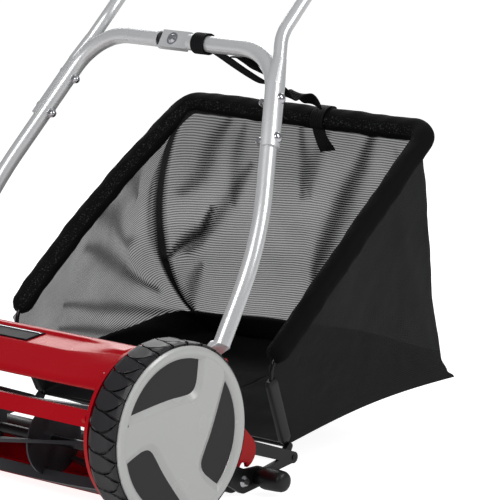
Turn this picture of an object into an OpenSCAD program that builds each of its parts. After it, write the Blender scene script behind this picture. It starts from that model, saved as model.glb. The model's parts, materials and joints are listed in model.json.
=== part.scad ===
// Hand-pushed reel mower with a rear roller, a two-part tube handle and a cloth grass catcher.
// Frame: origin on the ground below the wheel axle, +Z up, -Y to the front,
// +X to the left of the person who pushes it.

/* [Wheels] */
// Diameter over the tyre tread
wheel_d = 210; // [176:1:252]
// Width of a wheel, tyre and cover together
wheel_w = 44; // [37:1:52]
// Width of the mower over both wheel covers
overall_w = 572; // [560:1:690]
// Diameter of the silver wheel cover
cover_d = 201; // [168:1:208]
// Diameter of the stub axles
axle_d = 16; // [14:0.5:19]

/* [Drive] */
// Module of the ring gear and the pinion
gear_module = 2.5; // [2.1:0.1:2.6]
// Teeth of the ring gear in each wheel
ring_teeth = 48; // [44:4:52]
// Teeth of the pinion on each end of the reel shaft
pinion_teeth = 12; // [12:1:13]
// Direction from the wheel axle to the reel shaft, in degrees
reel_dir = 290; // [284:1:296]

/* [Reel and bedknife] */
// Cutting width, the length of the reel
cut_w = 400; // [334:1:404]
// Height of cut, the reel's lowest point above the ground
cut_h = 14; // [12:0.5:17]
// Number of blades on the reel
blade_count = 5; // [4:1:6]
// Thickness of a reel blade
blade_t = 4; // [3:0.5:5]
// Turn of each blade from one end of the reel to the other, in degrees
blade_twist = 66; // [40:1:80]
// Diameter of the reel shaft
shaft_d = 12; // [10:0.5:14]
// Thickness of the bedknife
knife_t = 3; // [2.5:0.1:3.6]

/* [Side plates and deck] */
// Thickness of a side plate
plate_t = 5; // [4:0.5:6]
// Radius of the side plates round the wheel axle
plate_r = 95; // [90:1:100]
// Wall of the deck cover
deck_wall = 3; // [2.5:0.1:3.6]

/* [Roller and height setting] */
// Diameter of the rear roller
roller_d = 33; // [30:1:38]
// Distance of the roller behind the wheel axle
roller_y = 152; // [150:1:164]
// Thickness of the roller brackets
bracket_t = 5; // [4:0.5:6]

/* [Handle] */
// Outside diameter of the lower handle tubes
tube_d = 20; // [17:0.5:22]
// Outside diameter of the upper handle tube
upper_d = 16; // [14:0.5:18]
// Wall of the handle tubes
tube_wall = 1.5; // [1.2:0.1:2]
// Lean of the lower handle behind the vertical, in degrees
handle_tilt = 30.4; // [27:0.1:33]
// Inward lean of the lower tubes, in degrees
leg_lean = 19.5; // [17:0.5:21]
// Length from the pivot up to the crossbar
lower_h = 391; // [340:0.5:420]
// Lean of the upper handle behind the vertical, in degrees
upper_tilt = 46; // [40:1:50]
// Length of the upper handle above its bend
upper_len = 690; // [575:1:828]
// Outside diameter of the foam grip
grip_d = 32; // [28:1:38]

/* [Grass catcher] */
// Width of the catcher
bag_w = 412; // [344:1:420]
// Diameter of the catcher's frame wire
wire_d = 5; // [4:0.5:6]
// Diameter of the cloth hem round the wire
hem_d = 25; // [21:0.5:28]
// Thickness of the catcher's cloth
cloth_t = 2; // [1.6:0.1:2.4]
// Width of the strap
strap_w = 20; // [17:1:24]

/* [Hidden] */

$fn = 64;
fit = 0.05;        // radial clearance of a running fit
seat = 0.2;        // gap between faces that lie on each other and move
play = 0.3;        // gap between cloth and what carries it
eps = 0.02;        // inset that keeps joined outlines from being tangent

// Wheels, from the outside in
axle_z = wheel_d / 2;
wheel_r = wheel_d / 2;
face_x = overall_w / 2;
tyre_in = face_x - wheel_w;
disc_t = 4.5;                          // wheel cover
wheel_gap = 12;                        // tyre to side plate
plate_out = tyre_in - wheel_gap;
plate_in = plate_out - plate_t;
axle_r = axle_d / 2;
bush_r = axle_r + 2;
hub_r = bush_r + 7;
rim_r = wheel_r - 11;                  // seat of the tyre
gear_x = plate_out + 6;                // inner face of ring gear and pinion
gear_w = 13;
axle_end = face_x - disc_t - 5.5;
hub_in = plate_out + 3.5;

// Gear train
pitch_ring = gear_module * ring_teeth / 2;
pitch_pinion = gear_module * pinion_teeth / 2;
centre_dist = pitch_ring - pitch_pinion;
ring_out = pitch_ring + 2.4 * gear_module;
reel_c = [centre_dist * cos(reel_dir), axle_z + centre_dist * sin(reel_dir)];

// Reel
reel_r = reel_c[1] - cut_h;
shaft_r = shaft_d / 2;
disc_r = reel_r - 6;
blade_in = reel_r - 13;
reel_end = cut_w / 2;
disc_x = reel_end - 12;
housing_x = reel_end + 3;
bearing_r = 14;
bearing_w = 8;
bearing_x = (housing_x + plate_in - bearing_w) / 2;

// Bedknife, just behind the reel's lowest point
knife_top = cut_h - 0.5;
knife_y = reel_c[0] - 2;
carrier_y = reel_c[0] + reel_r + 6;    // upright wall of the carrier
knife_pin = [carrier_y + deck_wall + 5, knife_top + 18];

// Side plate: a round plate with a rear tip and a handle lug
plate_c = [0, axle_z];
tip_c = [roller_y + 5, axle_z - 55];
tip_r = 20;
lug_r = 15;
pivot_z = axle_z + 50;
pivot_y = 104;
pivot_r = 4;

// Roller unit, which turns about a bolt on each side plate
roller_r = roller_d / 2;
roller_c = [roller_y, roller_r];
bracket_c = [roller_y - 33, roller_r + 17];
bracket_arm = norm(roller_c - bracket_c);
bracket_dir = atan2(roller_c[1] - bracket_c[1], roller_c[0] - bracket_c[0]);
height_turn = 24;                      // full travel of the height setting
roller_pin_r = 5;
grip_c = [roller_y + 25, roller_r + 1.5];

// Screws that hold the cross members between the side plates, as [y, z]
screw_r = 2.5;
bar_screw = plate_c + (plate_r - 6) * [cos(164), sin(164)];
cover_screw = plate_c + (plate_r - 14) * [cos(131), sin(131)];
back_screw = plate_c + (plate_r - 12) * [cos(97), sin(97)];

// Handle, in its own frame: x across, z up the slope, origin on the pivot
tube_r = tube_d / 2;
leg_x = plate_in + 5;
flat_t = 5;
leg_bend_z = 158.5;
bend_big = 75;
bend_leg = 400;
cross_x = leg_x - (lower_h - leg_bend_z) * tan(leg_lean);
lap = [-38, 8];                       // flat end of the left tube on the crossbar
lap_bolt = -18;
saddle_t = 3;
bolt_s = [282.5, 330.5];                   // bolts that join upper and lower handle
saddle_z = [270.5, 347.5];
upper_r = upper_d / 2;
upper_off = tube_r + seat + saddle_t - upper_r;
upper_start = 379.5;                     // where the upper tube is round again
upper_bend_z = 411.5;
top_bend = 38;
pivot = [0, pivot_y, pivot_z];

// Grass catcher, as [y, z] at the side
bag_x = bag_w / 2;
wire_r = wire_d / 2;
hem_r = hem_d / 2;
rim_low = [213, 138];
rim_top = [516, 380];
bag_back = [570, 68];
bag_front = [256, 36];
bag_corner = 37;                       // radius of the bag's upright rear corners
lug_out = 6.5;
rim_x = [bag_x + 10, bag_x - 4];        // frame wire at the rim's low end and at its top
bag_bend = 28;
hook_c = [248, 26];
hook_r = 3;
strap_x = 29;
strap_t = 2.5;

// Deck cover and front bar, as lines of [y, z] points round the wheel axle
inset_x = 80;
inset_t = 1.2;
cover_line = [for (p = [[143.5, -1], [117, -1.6], [100, -4], [98.9, -1.3], [94.3, -1.5], [81.2, -10]])
    plate_c + (plate_r + p[1]) * [cos(p[0]), sin(p[0])]];
bar_line = [for (p = [[170, -1], [158.5, -1], [157.3, -12]])
    plate_c + (plate_r + p[1]) * [cos(p[0]), sin(p[0])]];
knife_screw_x = [-165, -55, 55, 165];
arm_root = [150, 60];
grip_len = 42;
roller_end = plate_in - bracket_t - 3;
foot_top = 30;                         // where the leg is round again above its flat foot
foot_blend = 8;                        // length over which the foot becomes round
stop_r = 3;
stop_s = [tube_r + 5.3, 14];                   // place of the stop beside and along the foot
stop_c = [pivot_y + stop_s[1] * sin(handle_tilt) + stop_s[0] * cos(handle_tilt),
    pivot_z + stop_s[1] * cos(handle_tilt) - stop_s[0] * sin(handle_tilt)];
cross_c = [pivot_y + lower_h * sin(handle_tilt), pivot_z + lower_h * cos(handle_tilt)];
bag_side = [bag_front, bag_back, rim_top,
    rim_low + 13 * unit(rim_top - rim_low), rim_low + 13 * unit(bag_front - rim_low)];

grip_x = leg_at(upper_bend_z) + upper_off * cos(leg_lean) - top_bend - 2;

function unit(v) = v / norm(v);
function leg_at(s) = leg_x - (s - leg_bend_z) * tan(leg_lean);
function mitre(n1, n2, d1, d2) =
    let (c = n1 * n2) (n1 * (d1 - d2 * c) + n2 * (d2 - d1 * c)) / (1 - c * c);

// Puts a drawing of [y, z] at x and gives it a width
module across(x, w) {
    translate([x, 0, 0]) rotate([90, 0, 90]) linear_extrude(w) children();
}
module pin_x(x0, x1, c, r) {
    translate([x0, c[0], c[1]]) rotate([0, 90, 0]) cylinder(h = x1 - x0, r = r);
}
module tube_x(x0, x1, c, r_out, r_in) {
    difference() {
        pin_x(x0, x1, c, r_out);
        pin_x(x0 - 1, x1 + 1, c, r_in);
    }
}
module both() {
    children();
    mirror([1, 0, 0]) children();
}
module right_side() {
    mirror([1, 0, 0]) children();
}
// Two circles joined by their outer tangents
module link(a, ra, b, rb) {
    d = norm(b - a);
    dir = atan2(b[1] - a[1], b[0] - a[0]);
    open = acos((ra - rb) / d);
    translate(a) circle(r = ra);
    translate(b) circle(r = rb);
    polygon([for (s = [[a, ra, 1], [a, ra, -1], [b, rb, -1], [b, rb, 1]])
        s[0] + (s[1] - eps) * [cos(dir + s[2] * open), sin(dir + s[2] * open)]]);
}
// A bar with a constant wall that follows a line of [y, z] points
module sheet(points, wall) {
    n = len(points);
    function right(a, b) = [unit(b - a)[1], -unit(b - a)[0]];
    function shift(i) =
        i == 0 ? right(points[0], points[1])
        : i == n - 1 ? right(points[n - 2], points[n - 1])
        : mitre(right(points[i - 1], points[i]), right(points[i], points[i + 1]), 1, 1);
    polygon(concat(points, [for (i = [n - 1:-1:0]) points[i] + wall * shift(i)]));
}
// A closed outline, counter-clockwise, with each side moved inwards by its own distance
module inset(points, d) {
    n = len(points);
    function left(i) = let (v = unit(points[(i + 1) % n] - points[i])) [-v[1], v[0]];
    polygon([for (i = [0:n - 1])
        points[i] + mitre(left((i + n - 1) % n), left(i), d[(i + n - 1) % n], d[i])]);
}
module orient(v) {
    rotate([0, acos(v[2] / norm(v)), atan2(v[1], v[0])]) children();
}
module rod(a, b, r) {
    translate(a) orient(b - a) cylinder(h = norm(b - a), r = r);
}
// Round bar through the points, with a bend of the given radius at each inner point. The straight
// pieces reach a little way into the bends and are a hair thicker, so no two skins are tangent.
module bent_rod(p, bend, r) {
    n = len(p);
    function dir(i) = unit(p[i + 1] - p[i]);
    function turn(i) = acos(dir(i - 1) * dir(i));
    function cut(i) = bend[i] * tan(turn(i) / 2) - 0.5;
    for (i = [0:n - 2])
        rod(p[i] + (i == 0 ? 0 : cut(i)) * dir(i), p[i + 1] - (i == n - 2 ? 0 : cut(i + 1)) * dir(i), r + eps);
    for (i = [1:n - 2]) {
        d = dir(i - 1);
        in = unit(dir(i) - d * (d * dir(i)));
        w = cross(-in, d);
        c = p[i] - (cut(i) + 0.5) * d + bend[i] * in;
        multmatrix([[-in[0], d[0], w[0], c[0]], [-in[1], d[1], w[1], c[1]], [-in[2], d[2], w[2], c[2]]])
            rotate_extrude(angle = turn(i)) translate([bend[i], 0]) circle(r = r);
    }
}
module bent_tube(p, bend, r, wall) {
    n = len(p);
    inner = concat([p[0] - unit(p[1] - p[0])], [for (i = [1:n - 2]) p[i]],
        [p[n - 1] + unit(p[n - 1] - p[n - 2])]);
    difference() {
        bent_rod(p, bend, r);
        bent_rod(inner, bend, r - wall);
    }
}

// Outline of an involute gear: radii of root and tip, and an angle that thins or widens the teeth
module gear_outline(teeth, root, tip, spare) {
    pitch = gear_module * teeth / 2;
    base = pitch * cos(20);
    radii = [for (k = [0:4]) max(base, root) + (tip - max(base, root)) * k / 4];
    function inv(a) = tan(a) * 180 / PI - a;
    function half(r) = 90 / teeth + spare + inv(20) - inv(acos(min(1, base / r)));
    flank = concat(root < base ? [[root, half(base)]] : [], [for (r = radii) [r, half(r)]]);
    m = len(flank);
    polygon([for (i = [0:teeth - 1], k = [0:2 * m - 1])
        let (f = flank[k < m ? k : 2 * m - 1 - k], a = 360 * i / teeth + (k < m ? -f[1] : f[1]))
        f[0] * [cos(a), sin(a)]]);
}

// Side plates, cross members and what is fixed to them
module plate_outline() {
    link(plate_c, plate_r, tip_c, tip_r);
    link(plate_c, plate_r - 25, [pivot_y, pivot_z], lug_r);
    link([pivot_y, pivot_z], lug_r, stop_c, stop_r + 3);
}
// The way of the roller shaft past the plate, as the height is set
module roller_way() {
    for (a = [bracket_dir:height_turn / 4:bracket_dir + height_turn])
        translate(bracket_c + bracket_arm * [cos(a), sin(a)]) circle(r = roller_pin_r + 1.5);
}
module side_plate() {
    color("firebrick") difference() {
        across(plate_in, plate_t) difference() {
            plate_outline();
            roller_way();
            translate(reel_c) circle(r = shaft_r + 2);
            for (c = [bar_screw, cover_screw, back_screw]) translate(c) circle(r = screw_r);
        }
        pin_x(plate_in - 1, plate_out + 1, plate_c, axle_r);
        pin_x(plate_in - 1, plate_out + 1, [pivot_y, pivot_z], pivot_r);
        pin_x(plate_in - 1, plate_out + 1, stop_c, stop_r);
        pin_x(plate_in - 1, plate_out + 1, bracket_c, pivot_r);
        pin_x(plate_in - 1, plate_out + 1, knife_pin, pivot_r);
    }
}
module side_plate_left() side_plate();
module side_plate_right() right_side() side_plate();

module cover_tabs() {
    difference() {
        union() {
            intersection() {
                translate(plate_c) circle(r = plate_r - 2 - deck_wall);
                link(cover_screw, 8, cover_screw + [-5.5, 6.5], 7);
            }
            link(back_screw, 7, back_screw + [2.5, 5.6], 3);
        }
        translate(cover_screw) circle(r = screw_r);
        translate(back_screw) circle(r = screw_r);
    }
}
module deck_cover() {
    color("crimson") {
        across(-plate_in + seat, 2 * (plate_in - seat)) sheet(cover_line, deck_wall);
        both() across(plate_in - seat - plate_t, plate_t) cover_tabs();
    }
}
module deck_inset() {
    facet = cover_line[2] - cover_line[1];
    color("black") across(-inset_x, 2 * inset_x)
        sheet([cover_line[1] + 0.08 * facet, cover_line[1] + 0.94 * facet], -inset_t);
}
module front_bar() {
    color("crimson") difference() {
        union() {
            across(-plate_in + seat, 2 * (plate_in - seat)) sheet(bar_line, deck_wall);
            both() across(plate_in - seat - plate_t, plate_t) translate(bar_screw) circle(r = 7);
        }
        both() pin_x(plate_in - 2 * plate_t, plate_in, bar_screw, screw_r);
    }
}
module plate_screws() {
    color("dimgray") both() for (c = [bar_screw, cover_screw, back_screw]) {
        pin_x(plate_in - plate_t - 3, plate_out, c, screw_r);
        pin_x(plate_out, plate_out + 3, c, 2 * screw_r);
    }
}
module bearing_housing() {
    color("black") difference() {
        pin_x(housing_x, plate_in, reel_c, bearing_r + 8);
        pin_x(bearing_x, bearing_x + bearing_w, reel_c, bearing_r);
        pin_x(housing_x - 1, plate_in + 1, reel_c, shaft_r + 2);
    }
}
module bearing_housing_left() bearing_housing();
module bearing_housing_right() right_side() bearing_housing();
module reel_bearings() {
    color("silver") both() tube_x(bearing_x, bearing_x + bearing_w, reel_c, bearing_r, shaft_r + fit);
}
module stub_axles() {
    color("silver") both() {
        pin_x(plate_in - 10, axle_end, plate_c, axle_r);
        pin_x(plate_out, plate_out + 3, plate_c, axle_r + 5);
    }
}
module axle_nuts() {
    color("dimgray") both() difference() {
        translate([plate_in - 8, 0, axle_z]) rotate([0, 90, 0]) cylinder(h = 8, r = axle_r + 6, $fn = 6);
        pin_x(plate_in - 9, plate_in + 1, plate_c, axle_r);
    }
}
module axle_washers() {
    color("silver") both() {
        pin_x(axle_end, axle_end + 1.5, plate_c, axle_r + 4);
        pin_x(axle_end + 1.5, axle_end + 4, plate_c, 6);
    }
}
module handle_pivots() {
    c = [pivot_y, pivot_z];
    color("silver") both() {
        pin_x(plate_in - 2 * seat - flat_t, plate_out, c, pivot_r);
        pin_x(plate_in - 2 * seat - flat_t - 3, plate_in - 2 * seat - flat_t, c, 2 * pivot_r);
        pin_x(plate_out, plate_out + 4, c, 2 * pivot_r);
    }
}
module handle_stops() {
    color("dimgray") both() pin_x(plate_in - flat_t, plate_out, stop_c, stop_r);
}
module bracket_pivots() {
    x = plate_out + 2 * seat + bracket_t;
    color("silver") both() {
        pin_x(plate_in, x, bracket_c, pivot_r);
        pin_x(x, x + 3, bracket_c, 2 * pivot_r - 1);
    }
}
module catcher_arm() {
    color("black") across(plate_in - bracket_t, bracket_t) difference() {
        union() {
            link(arm_root, 8, hook_c, 7);
            link(hook_c, 6, hook_c + [-46, -8], 5);
        }
        translate(hook_c) circle(r = hook_r + fit);
    }
}
module catcher_arm_left() catcher_arm();
module catcher_arm_right() right_side() catcher_arm();

// Bedknife and its carrier
module knife_carrier() {
    end_x = reel_end - 1;
    color("firebrick") {
        difference() {
            across(-end_x, 2 * end_x) sheet([[knife_y + 8, knife_top - knife_t],
                [carrier_y, knife_top - knife_t], [carrier_y, knife_top + 30]], deck_wall);
            for (x = knife_screw_x) translate([x, knife_y + 20, 0]) cylinder(h = knife_top, r = screw_r);
        }
        both() across(end_x - 5, 5) difference() {
            link([carrier_y + deck_wall, knife_top + 2], 5, knife_pin, 8);
            translate(knife_pin) circle(r = pivot_r + fit);
            translate([carrier_y - 9, 0]) square([9, 200]);
        }
    }
}
module bedknife() {
    color("dimgray") difference() {
        across(-reel_end + 1, 2 * reel_end - 2) polygon([[knife_y, knife_top], [knife_y + 3, knife_top - knife_t],
            [knife_y + 36, knife_top - knife_t], [knife_y + 36, knife_top]]);
        for (x = knife_screw_x) translate([x, knife_y + 20, 0]) cylinder(h = 2 * knife_top, r = screw_r);
    }
}
module knife_screws() {
    color("silver") for (x = knife_screw_x) translate([x, knife_y + 20, 0]) {
        translate([0, 0, knife_top - knife_t - deck_wall]) cylinder(h = knife_t + deck_wall, r = screw_r);
        translate([0, 0, knife_top]) cylinder(h = 1.5, r1 = 2 * screw_r, r2 = screw_r + 1);
    }
}
module knife_pins() {
    color("silver") both() pin_x(reel_end - 6, plate_out, knife_pin, pivot_r);
}

// Wheels
module wheel_hub() {
    web_x = gear_x + gear_w + 4;
    color("dimgray") translate([0, 0, axle_z]) rotate([0, 90, 0]) difference() {
        union() {
            translate([0, 0, hub_in]) cylinder(h = axle_end - 1 - hub_in, r = hub_r);
            translate([0, 0, web_x]) cylinder(h = 5, r = rim_r - 2);
            difference() {
                translate([0, 0, gear_x]) cylinder(h = web_x - gear_x + 1, r = ring_out + 4);
                translate([0, 0, gear_x - 1]) cylinder(h = gear_w + 1, r = ring_out);
                translate([0, 0, gear_x - 1]) cylinder(h = web_x - gear_x + 1, r = ring_out - 4);
            }
            difference() {
                translate([0, 0, tyre_in + 1]) cylinder(h = wheel_w - disc_t - 2, r = rim_r);
                translate([0, 0, tyre_in]) cylinder(h = wheel_w, r = rim_r - 5);
            }
        }
        translate([0, 0, hub_in - 1]) cylinder(h = wheel_w + 20, r = bush_r);
    }
}
module ring_gear() {
    color("gray") across(gear_x, gear_w) translate(plate_c) difference() {
        circle(r = ring_out);
        rotate(reel_dir) gear_outline(ring_teeth, pitch_ring - 0.7 * gear_module,
            pitch_ring + 1.15 * gear_module, 0.14);
    }
}
module tyre() {
    w = wheel_w - disc_t;
    color([0.13, 0.12, 0.13]) translate([tyre_in, 0, axle_z]) rotate([0, 90, 0]) rotate_extrude($fn = 96)
        polygon([[rim_r, 1], [rim_r + 4, 0], [wheel_r - 3, 0], [wheel_r, 4], [wheel_r, w - 4],
            [wheel_r - 3, w - 0.2], [rim_r, w - 0.2]]);
}
// The window between two spokes, drawn round the wheel's axis
module spoke_window() {
    r = cover_d / 2;
    intersection() {
        circle(r = 0.87 * r);
        polygon(r * [[-0.62, 0.64], [-0.03, 0.49], [0.2, 0.4], [0.33, 0.36], [0.43, 0.41],
            [0.52, 0.56], [0.6, 0.75], [0.5, 1.1], [-0.9, 1.1]]);
    }
}
module wheel_cover() {
    color("silver") across(face_x - disc_t, disc_t) translate(plate_c) difference() {
        circle(r = cover_d / 2);
        for (a = [-98, 22, 142]) rotate(a) spoke_window();
    }
}
module wheel_bush() {
    color("gold") tube_x(hub_in, axle_end - 1, plate_c, bush_r, axle_r + fit);
}
module wheel_hub_left() wheel_hub();
module ring_gear_left() ring_gear();
module tyre_left() tyre();
module wheel_cover_left() wheel_cover();
module wheel_bush_left() wheel_bush();
module wheel_hub_right() right_side() wheel_hub();
module ring_gear_right() right_side() ring_gear();
module tyre_right() right_side() tyre();
module wheel_cover_right() right_side() wheel_cover();
module wheel_bush_right() right_side() wheel_bush();

// Reel
module reel_shaft() {
    color("silver") pin_x(-gear_x - gear_w - 1, gear_x + gear_w + 1, reel_c, shaft_r);
}
module reel_discs() {
    t = 2.5;
    slot = blade_t + 1;
    color("dimgray") for (k = [-1:2 / 3:1])
        across(k * disc_x - t / 2, t) translate(reel_c) difference() {
            circle(r = disc_r);
            circle(r = shaft_r);
            for (i = [0:blade_count - 1])
                rotate(360 * i / blade_count - blade_twist * (k * disc_x + reel_end) / cut_w)
                    translate([blade_in - 0.5, -slot / 2]) square([reel_r, slot]);
        }
}
module reel_blades() {
    color("gray") translate([-reel_end, reel_c[0], reel_c[1]]) rotate([90, 0, 90])
        linear_extrude(height = cut_w, twist = blade_twist, slices = 44, $fn = 12)
            for (i = [0:blade_count - 1]) rotate(360 * i / blade_count)
                translate([blade_in, -blade_t / 2]) square([reel_r - blade_in, blade_t]);
}
module pinions() {
    color("gray") both() across(gear_x, gear_w) translate(reel_c) difference() {
        rotate(reel_dir) gear_outline(pinion_teeth, pitch_pinion - 0.93 * gear_module,
            pitch_pinion + 0.8 * gear_module, -0.6);
        circle(r = shaft_r);
    }
}
module shaft_circlips() {
    color("dimgray") both() tube_x(gear_x - 1.5, gear_x, reel_c, shaft_r + 2, shaft_r);
}

// Roller unit
module roller_bracket() {
    color("black") across(plate_out + seat, bracket_t) difference() {
        union() {
            link(bracket_c, 11, roller_c, 14);
            link(roller_c, 14, grip_c, 12);
        }
        translate(bracket_c) circle(r = pivot_r + fit);
        translate(roller_c) circle(r = roller_pin_r);
    }
}
module roller_bracket_left() roller_bracket();
module roller_bracket_right() right_side() roller_bracket();
module roller_shaft() {
    x = plate_out + seat + bracket_t;
    color("silver") {
        pin_x(-x, x, roller_c, roller_pin_r);
        both() translate([x, roller_c[0], roller_c[1]]) rotate([0, 90, 0]) cylinder(h = 4, r1 = 7, r2 = 4.5);
    }
}
module height_grips() {
    x = plate_out + seat + bracket_t;
    color("black") both() translate([x, grip_c[0], grip_c[1]]) rotate([0, 90, 0]) rotate_extrude()
        polygon([[0, 0], [13.5, 0], [13.5, 3], [9.5, grip_len - 4], [6, grip_len], [0, grip_len]]);
}
module roller() {
    color("black") tube_x(-roller_end, roller_end, roller_c, roller_r, roller_pin_r + 3);
}
module roller_bushes() {
    color("gold") both() tube_x(roller_end - 14, roller_end, roller_c, roller_pin_r + 3, roller_pin_r + fit);
}

// Handle
module handle_frame() {
    translate(pivot) rotate([-handle_tilt, 0, 0]) children();
}
module bolt_line(z, grow) {
    o = [cos(leg_lean), 0, sin(leg_lean)];
    rod([leg_at(z), 0, z] - grow * o, [leg_at(z), 0, z] + grow * o, 3);
}
module lower_handle(front, flat_end, flat_start) {
    path = [[leg_x, 0, foot_top], [leg_x, 0, leg_bend_z], [cross_x, 0, lower_h], [flat_start, 0, lower_h]];
    bend = [0, bend_leg, bend_big, 0];
    x0 = plate_in - seat - flat_t;
    y0 = front ? -flat_t - 0.1 : 0.1;
    color("silver") difference() {
        union() {
            bent_tube(path, bend, tube_r, tube_wall);
            across(x0, flat_t) link([0, 0], 14, [0, foot_top - foot_blend + 1], tube_r + 1);
            hull() {
                translate([x0 + 0.1, -tube_r - 0.8, foot_top - foot_blend])
                    cube([flat_t - 0.2, 2 * tube_r + 1.6, 1]);
                translate([leg_x, 0, foot_top]) cylinder(h = 1, r = tube_r + 0.4, $fn = 32);
            }
            translate([flat_end, y0, lower_h - tube_r - 1])
                cube([flat_start - flat_end + 0.5, flat_t, 2 * tube_r + 2]);
        }
        pin_x(x0 - 1, plate_in + 1, [0, 0], pivot_r + fit);
        for (z = bolt_s) bolt_line(z, 20);
        translate([front ? lap_bolt : -lap_bolt, -20, lower_h]) rotate([-90, 0, 0]) cylinder(h = 40, r = 3);
    }
}
module lower_handle_left() handle_frame() lower_handle(true, lap[0], lap[1]);
module lower_handle_right() handle_frame() right_side() lower_handle(false, 4 - lap[1], 4 - lap[0]);
module lower_path(grow) {
    path = [[leg_x, 0, saddle_z[0] - 9], [cross_x, 0, lower_h], [0, 0, lower_h]];
    bent_rod([[leg_at(path[0][2]), 0, path[0][2]], path[1], path[2]], [0, bend_big, 0], tube_r + grow);
}
module upper_handle() {
    o = [cos(leg_lean), 0, sin(leg_lean)];
    function above(z) = [leg_at(z), 0, z] + upper_off * o;
    bend_at = above(upper_bend_z);
    rise = upper_tilt - handle_tilt;
    top = bend_at + upper_len * [0, sin(rise), cos(rise)];
    flip = [[-1, 0, 0], [0, 1, 0], [0, 0, 1]];
    half = [above(upper_start), bend_at, top];
    path = concat(half, [for (i = [2:-1:0]) flip * half[i]]);
    color("silver") handle_frame() difference() {
        union() {
            difference() {
                bent_tube(path, [0, 60, top_bend, top_bend, 60, 0], upper_r, tube_wall);
                both() lower_path(seat);
            }
            both() difference() {
                union() {
                    translate([leg_at(saddle_z[0]), 0, saddle_z[0]]) rotate([0, -leg_lean, 0])
                        linear_extrude((saddle_z[1] - saddle_z[0]) / cos(leg_lean)) saddle_section(0);
                    hull() {
                        translate([leg_at(saddle_z[1]), 0, saddle_z[1]]) rotate([0, -leg_lean, 0])
                            translate([0, 0, -1]) linear_extrude(1.5) saddle_section(0.3, $fn = 32);
                        translate(half[0]) rotate([0, -leg_lean, 0])
                            cylinder(h = 1, r = upper_r + 0.4, $fn = 32);
                    }
                }
                lower_path(seat);
            }
        }
        both() for (z = bolt_s) bolt_line(z, 30);
    }
}
module saddle_section(grow) {
    r = tube_r + seat + saddle_t + grow;
    intersection() {
        circle(r = r);
        translate([-grow, -r]) square([r + grow, 2 * r]);
    }
}
module foam_grip() {
    rise = upper_tilt - handle_tilt;
    top = upper_bend_z + upper_off * sin(leg_lean) + upper_len * cos(rise);
    color("black") handle_frame()
        tube_x(-grip_x, grip_x, [upper_len * sin(rise), top], grip_d / 2, upper_r + seat);
}
module handle_bolts() {
    o = [cos(leg_lean), 0, sin(leg_lean)];
    out = tube_r + seat + saddle_t;
    color("silver") handle_frame() both() for (z = bolt_s) {
        p = [leg_at(z), 0, z];
        rod(p - (tube_r + 7) * o, p + out * o, 3);
        translate(p + out * o) orient(o) cylinder(h = 3, r1 = 6.5, r2 = 4.5);
    }
}
module handle_nuts() {
    o = [cos(leg_lean), 0, sin(leg_lean)];
    color("silver") handle_frame() both() for (z = bolt_s) difference() {
        translate([leg_at(z), 0, z] - (tube_r + 5) * o) orient(o) cylinder(h = 5, r = 5.8, $fn = 6);
        bolt_line(z, 30);
    }
}
module centre_bolt() {
    y = flat_t + 0.1;
    color("silver") handle_frame() translate([lap_bolt, -y, lower_h]) rotate([-90, 0, 0]) {
        cylinder(h = 2 * y + 7, r = 3);
        translate([0, 0, -1.2]) cylinder(h = 1.2, r = 8);
        translate([0, 0, -4.2]) cylinder(h = 3, r1 = 3.5, r2 = 6);
    }
}
module centre_nut() {
    color("silver") handle_frame() translate([lap_bolt, flat_t + 0.1, lower_h]) rotate([-90, 0, 0]) difference() {
        cylinder(h = 5, r = 5.8, $fn = 6);
        translate([0, 0, -1]) cylinder(h = 7, r = 3);
    }
}

// Grass catcher
module wire_path(grow) {
    x = bag_x - cloth_t / 2;
    half = [[x, bag_front[0], bag_front[1]], [rim_x[0], rim_low[0], rim_low[1]],
        [rim_x[1], rim_top[0], rim_top[1]]];
    flip = [[-1, 0, 0], [0, 1, 0], [0, 0, 1]];
    bent_rod(concat(half, [for (i = [2:-1:0]) flip * half[i]]),
        [0, 30, bag_bend, bag_bend, 30, 0], wire_r + grow);
    rod(half[0], flip * half[0], wire_r + grow);
}
module hem_path(r) {
    low = [rim_x[0], rim_low[0], rim_low[1]];
    top = [rim_x[1], rim_top[0], rim_top[1]];
    start = low + 30 * unit(top - low);
    flip = [[-1, 0, 0], [0, 1, 0], [0, 0, 1]];
    bent_rod([start, top, flip * top, flip * start], [0, bag_bend, bag_bend, 0], r);
}
module catcher_frame() {
    color("silver") wire_path(0);
}
module catcher_hem() {
    color([0.09, 0.09, 0.1]) difference() {
        hem_path(hem_r);
        wire_path(0);
    }
}
// Everything inside the round rear corners of the bag, d in from its outer face
module bag_well(d) {
    r = bag_corner - d;
    w = bag_x - d;
    translate([0, bag_back[0], bag_back[1]])
        rotate([atan2(bag_back[0] - rim_top[0], rim_top[1] - bag_back[1]), 0, 0])
            translate([0, -d, -200]) linear_extrude(700) {
                translate([-w, -600 - r]) square([2 * w, 600]);
                translate([-w + r, -2 * r]) square([2 * (w - r), 2 * r - eps]);
                for (x = [r - w, w - r]) translate([x, -r]) circle(r = r + eps);
            }
}
module catcher_mesh() {
    color([0.3, 0.3, 0.31]) difference() {
        intersection() {
            across(-bag_x, bag_w) polygon(bag_side);
            bag_well(0);
        }
        intersection() {
            across(-bag_x + cloth_t, bag_w - 2 * cloth_t) inset(bag_side, [-5, cloth_t, -40, -40, -40]);
            bag_well(cloth_t);
        }
        hem_path(hem_r);
        wire_path(0);
    }
}
module catcher_floor() {
    x = bag_x - cloth_t;
    color([0.06, 0.06, 0.07]) difference() {
        intersection() {
            across(-x, 2 * x) difference() {
                inset(bag_side, [0, cloth_t, 0, 0, 0]);
                inset(bag_side, [cloth_t, -5, -40, -40, -40]);
            }
            bag_well(cloth_t);
        }
        wire_path(0);
    }
}
module catcher_lugs() {
    color("silver") both() {
        difference() {
            across(bag_x, lug_out) link(hook_c, 6, bag_front, 4);
            wire_path(0);
        }
        pin_x(bag_x + lug_out, plate_in + 1, hook_c, hook_r);
    }
}
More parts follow.
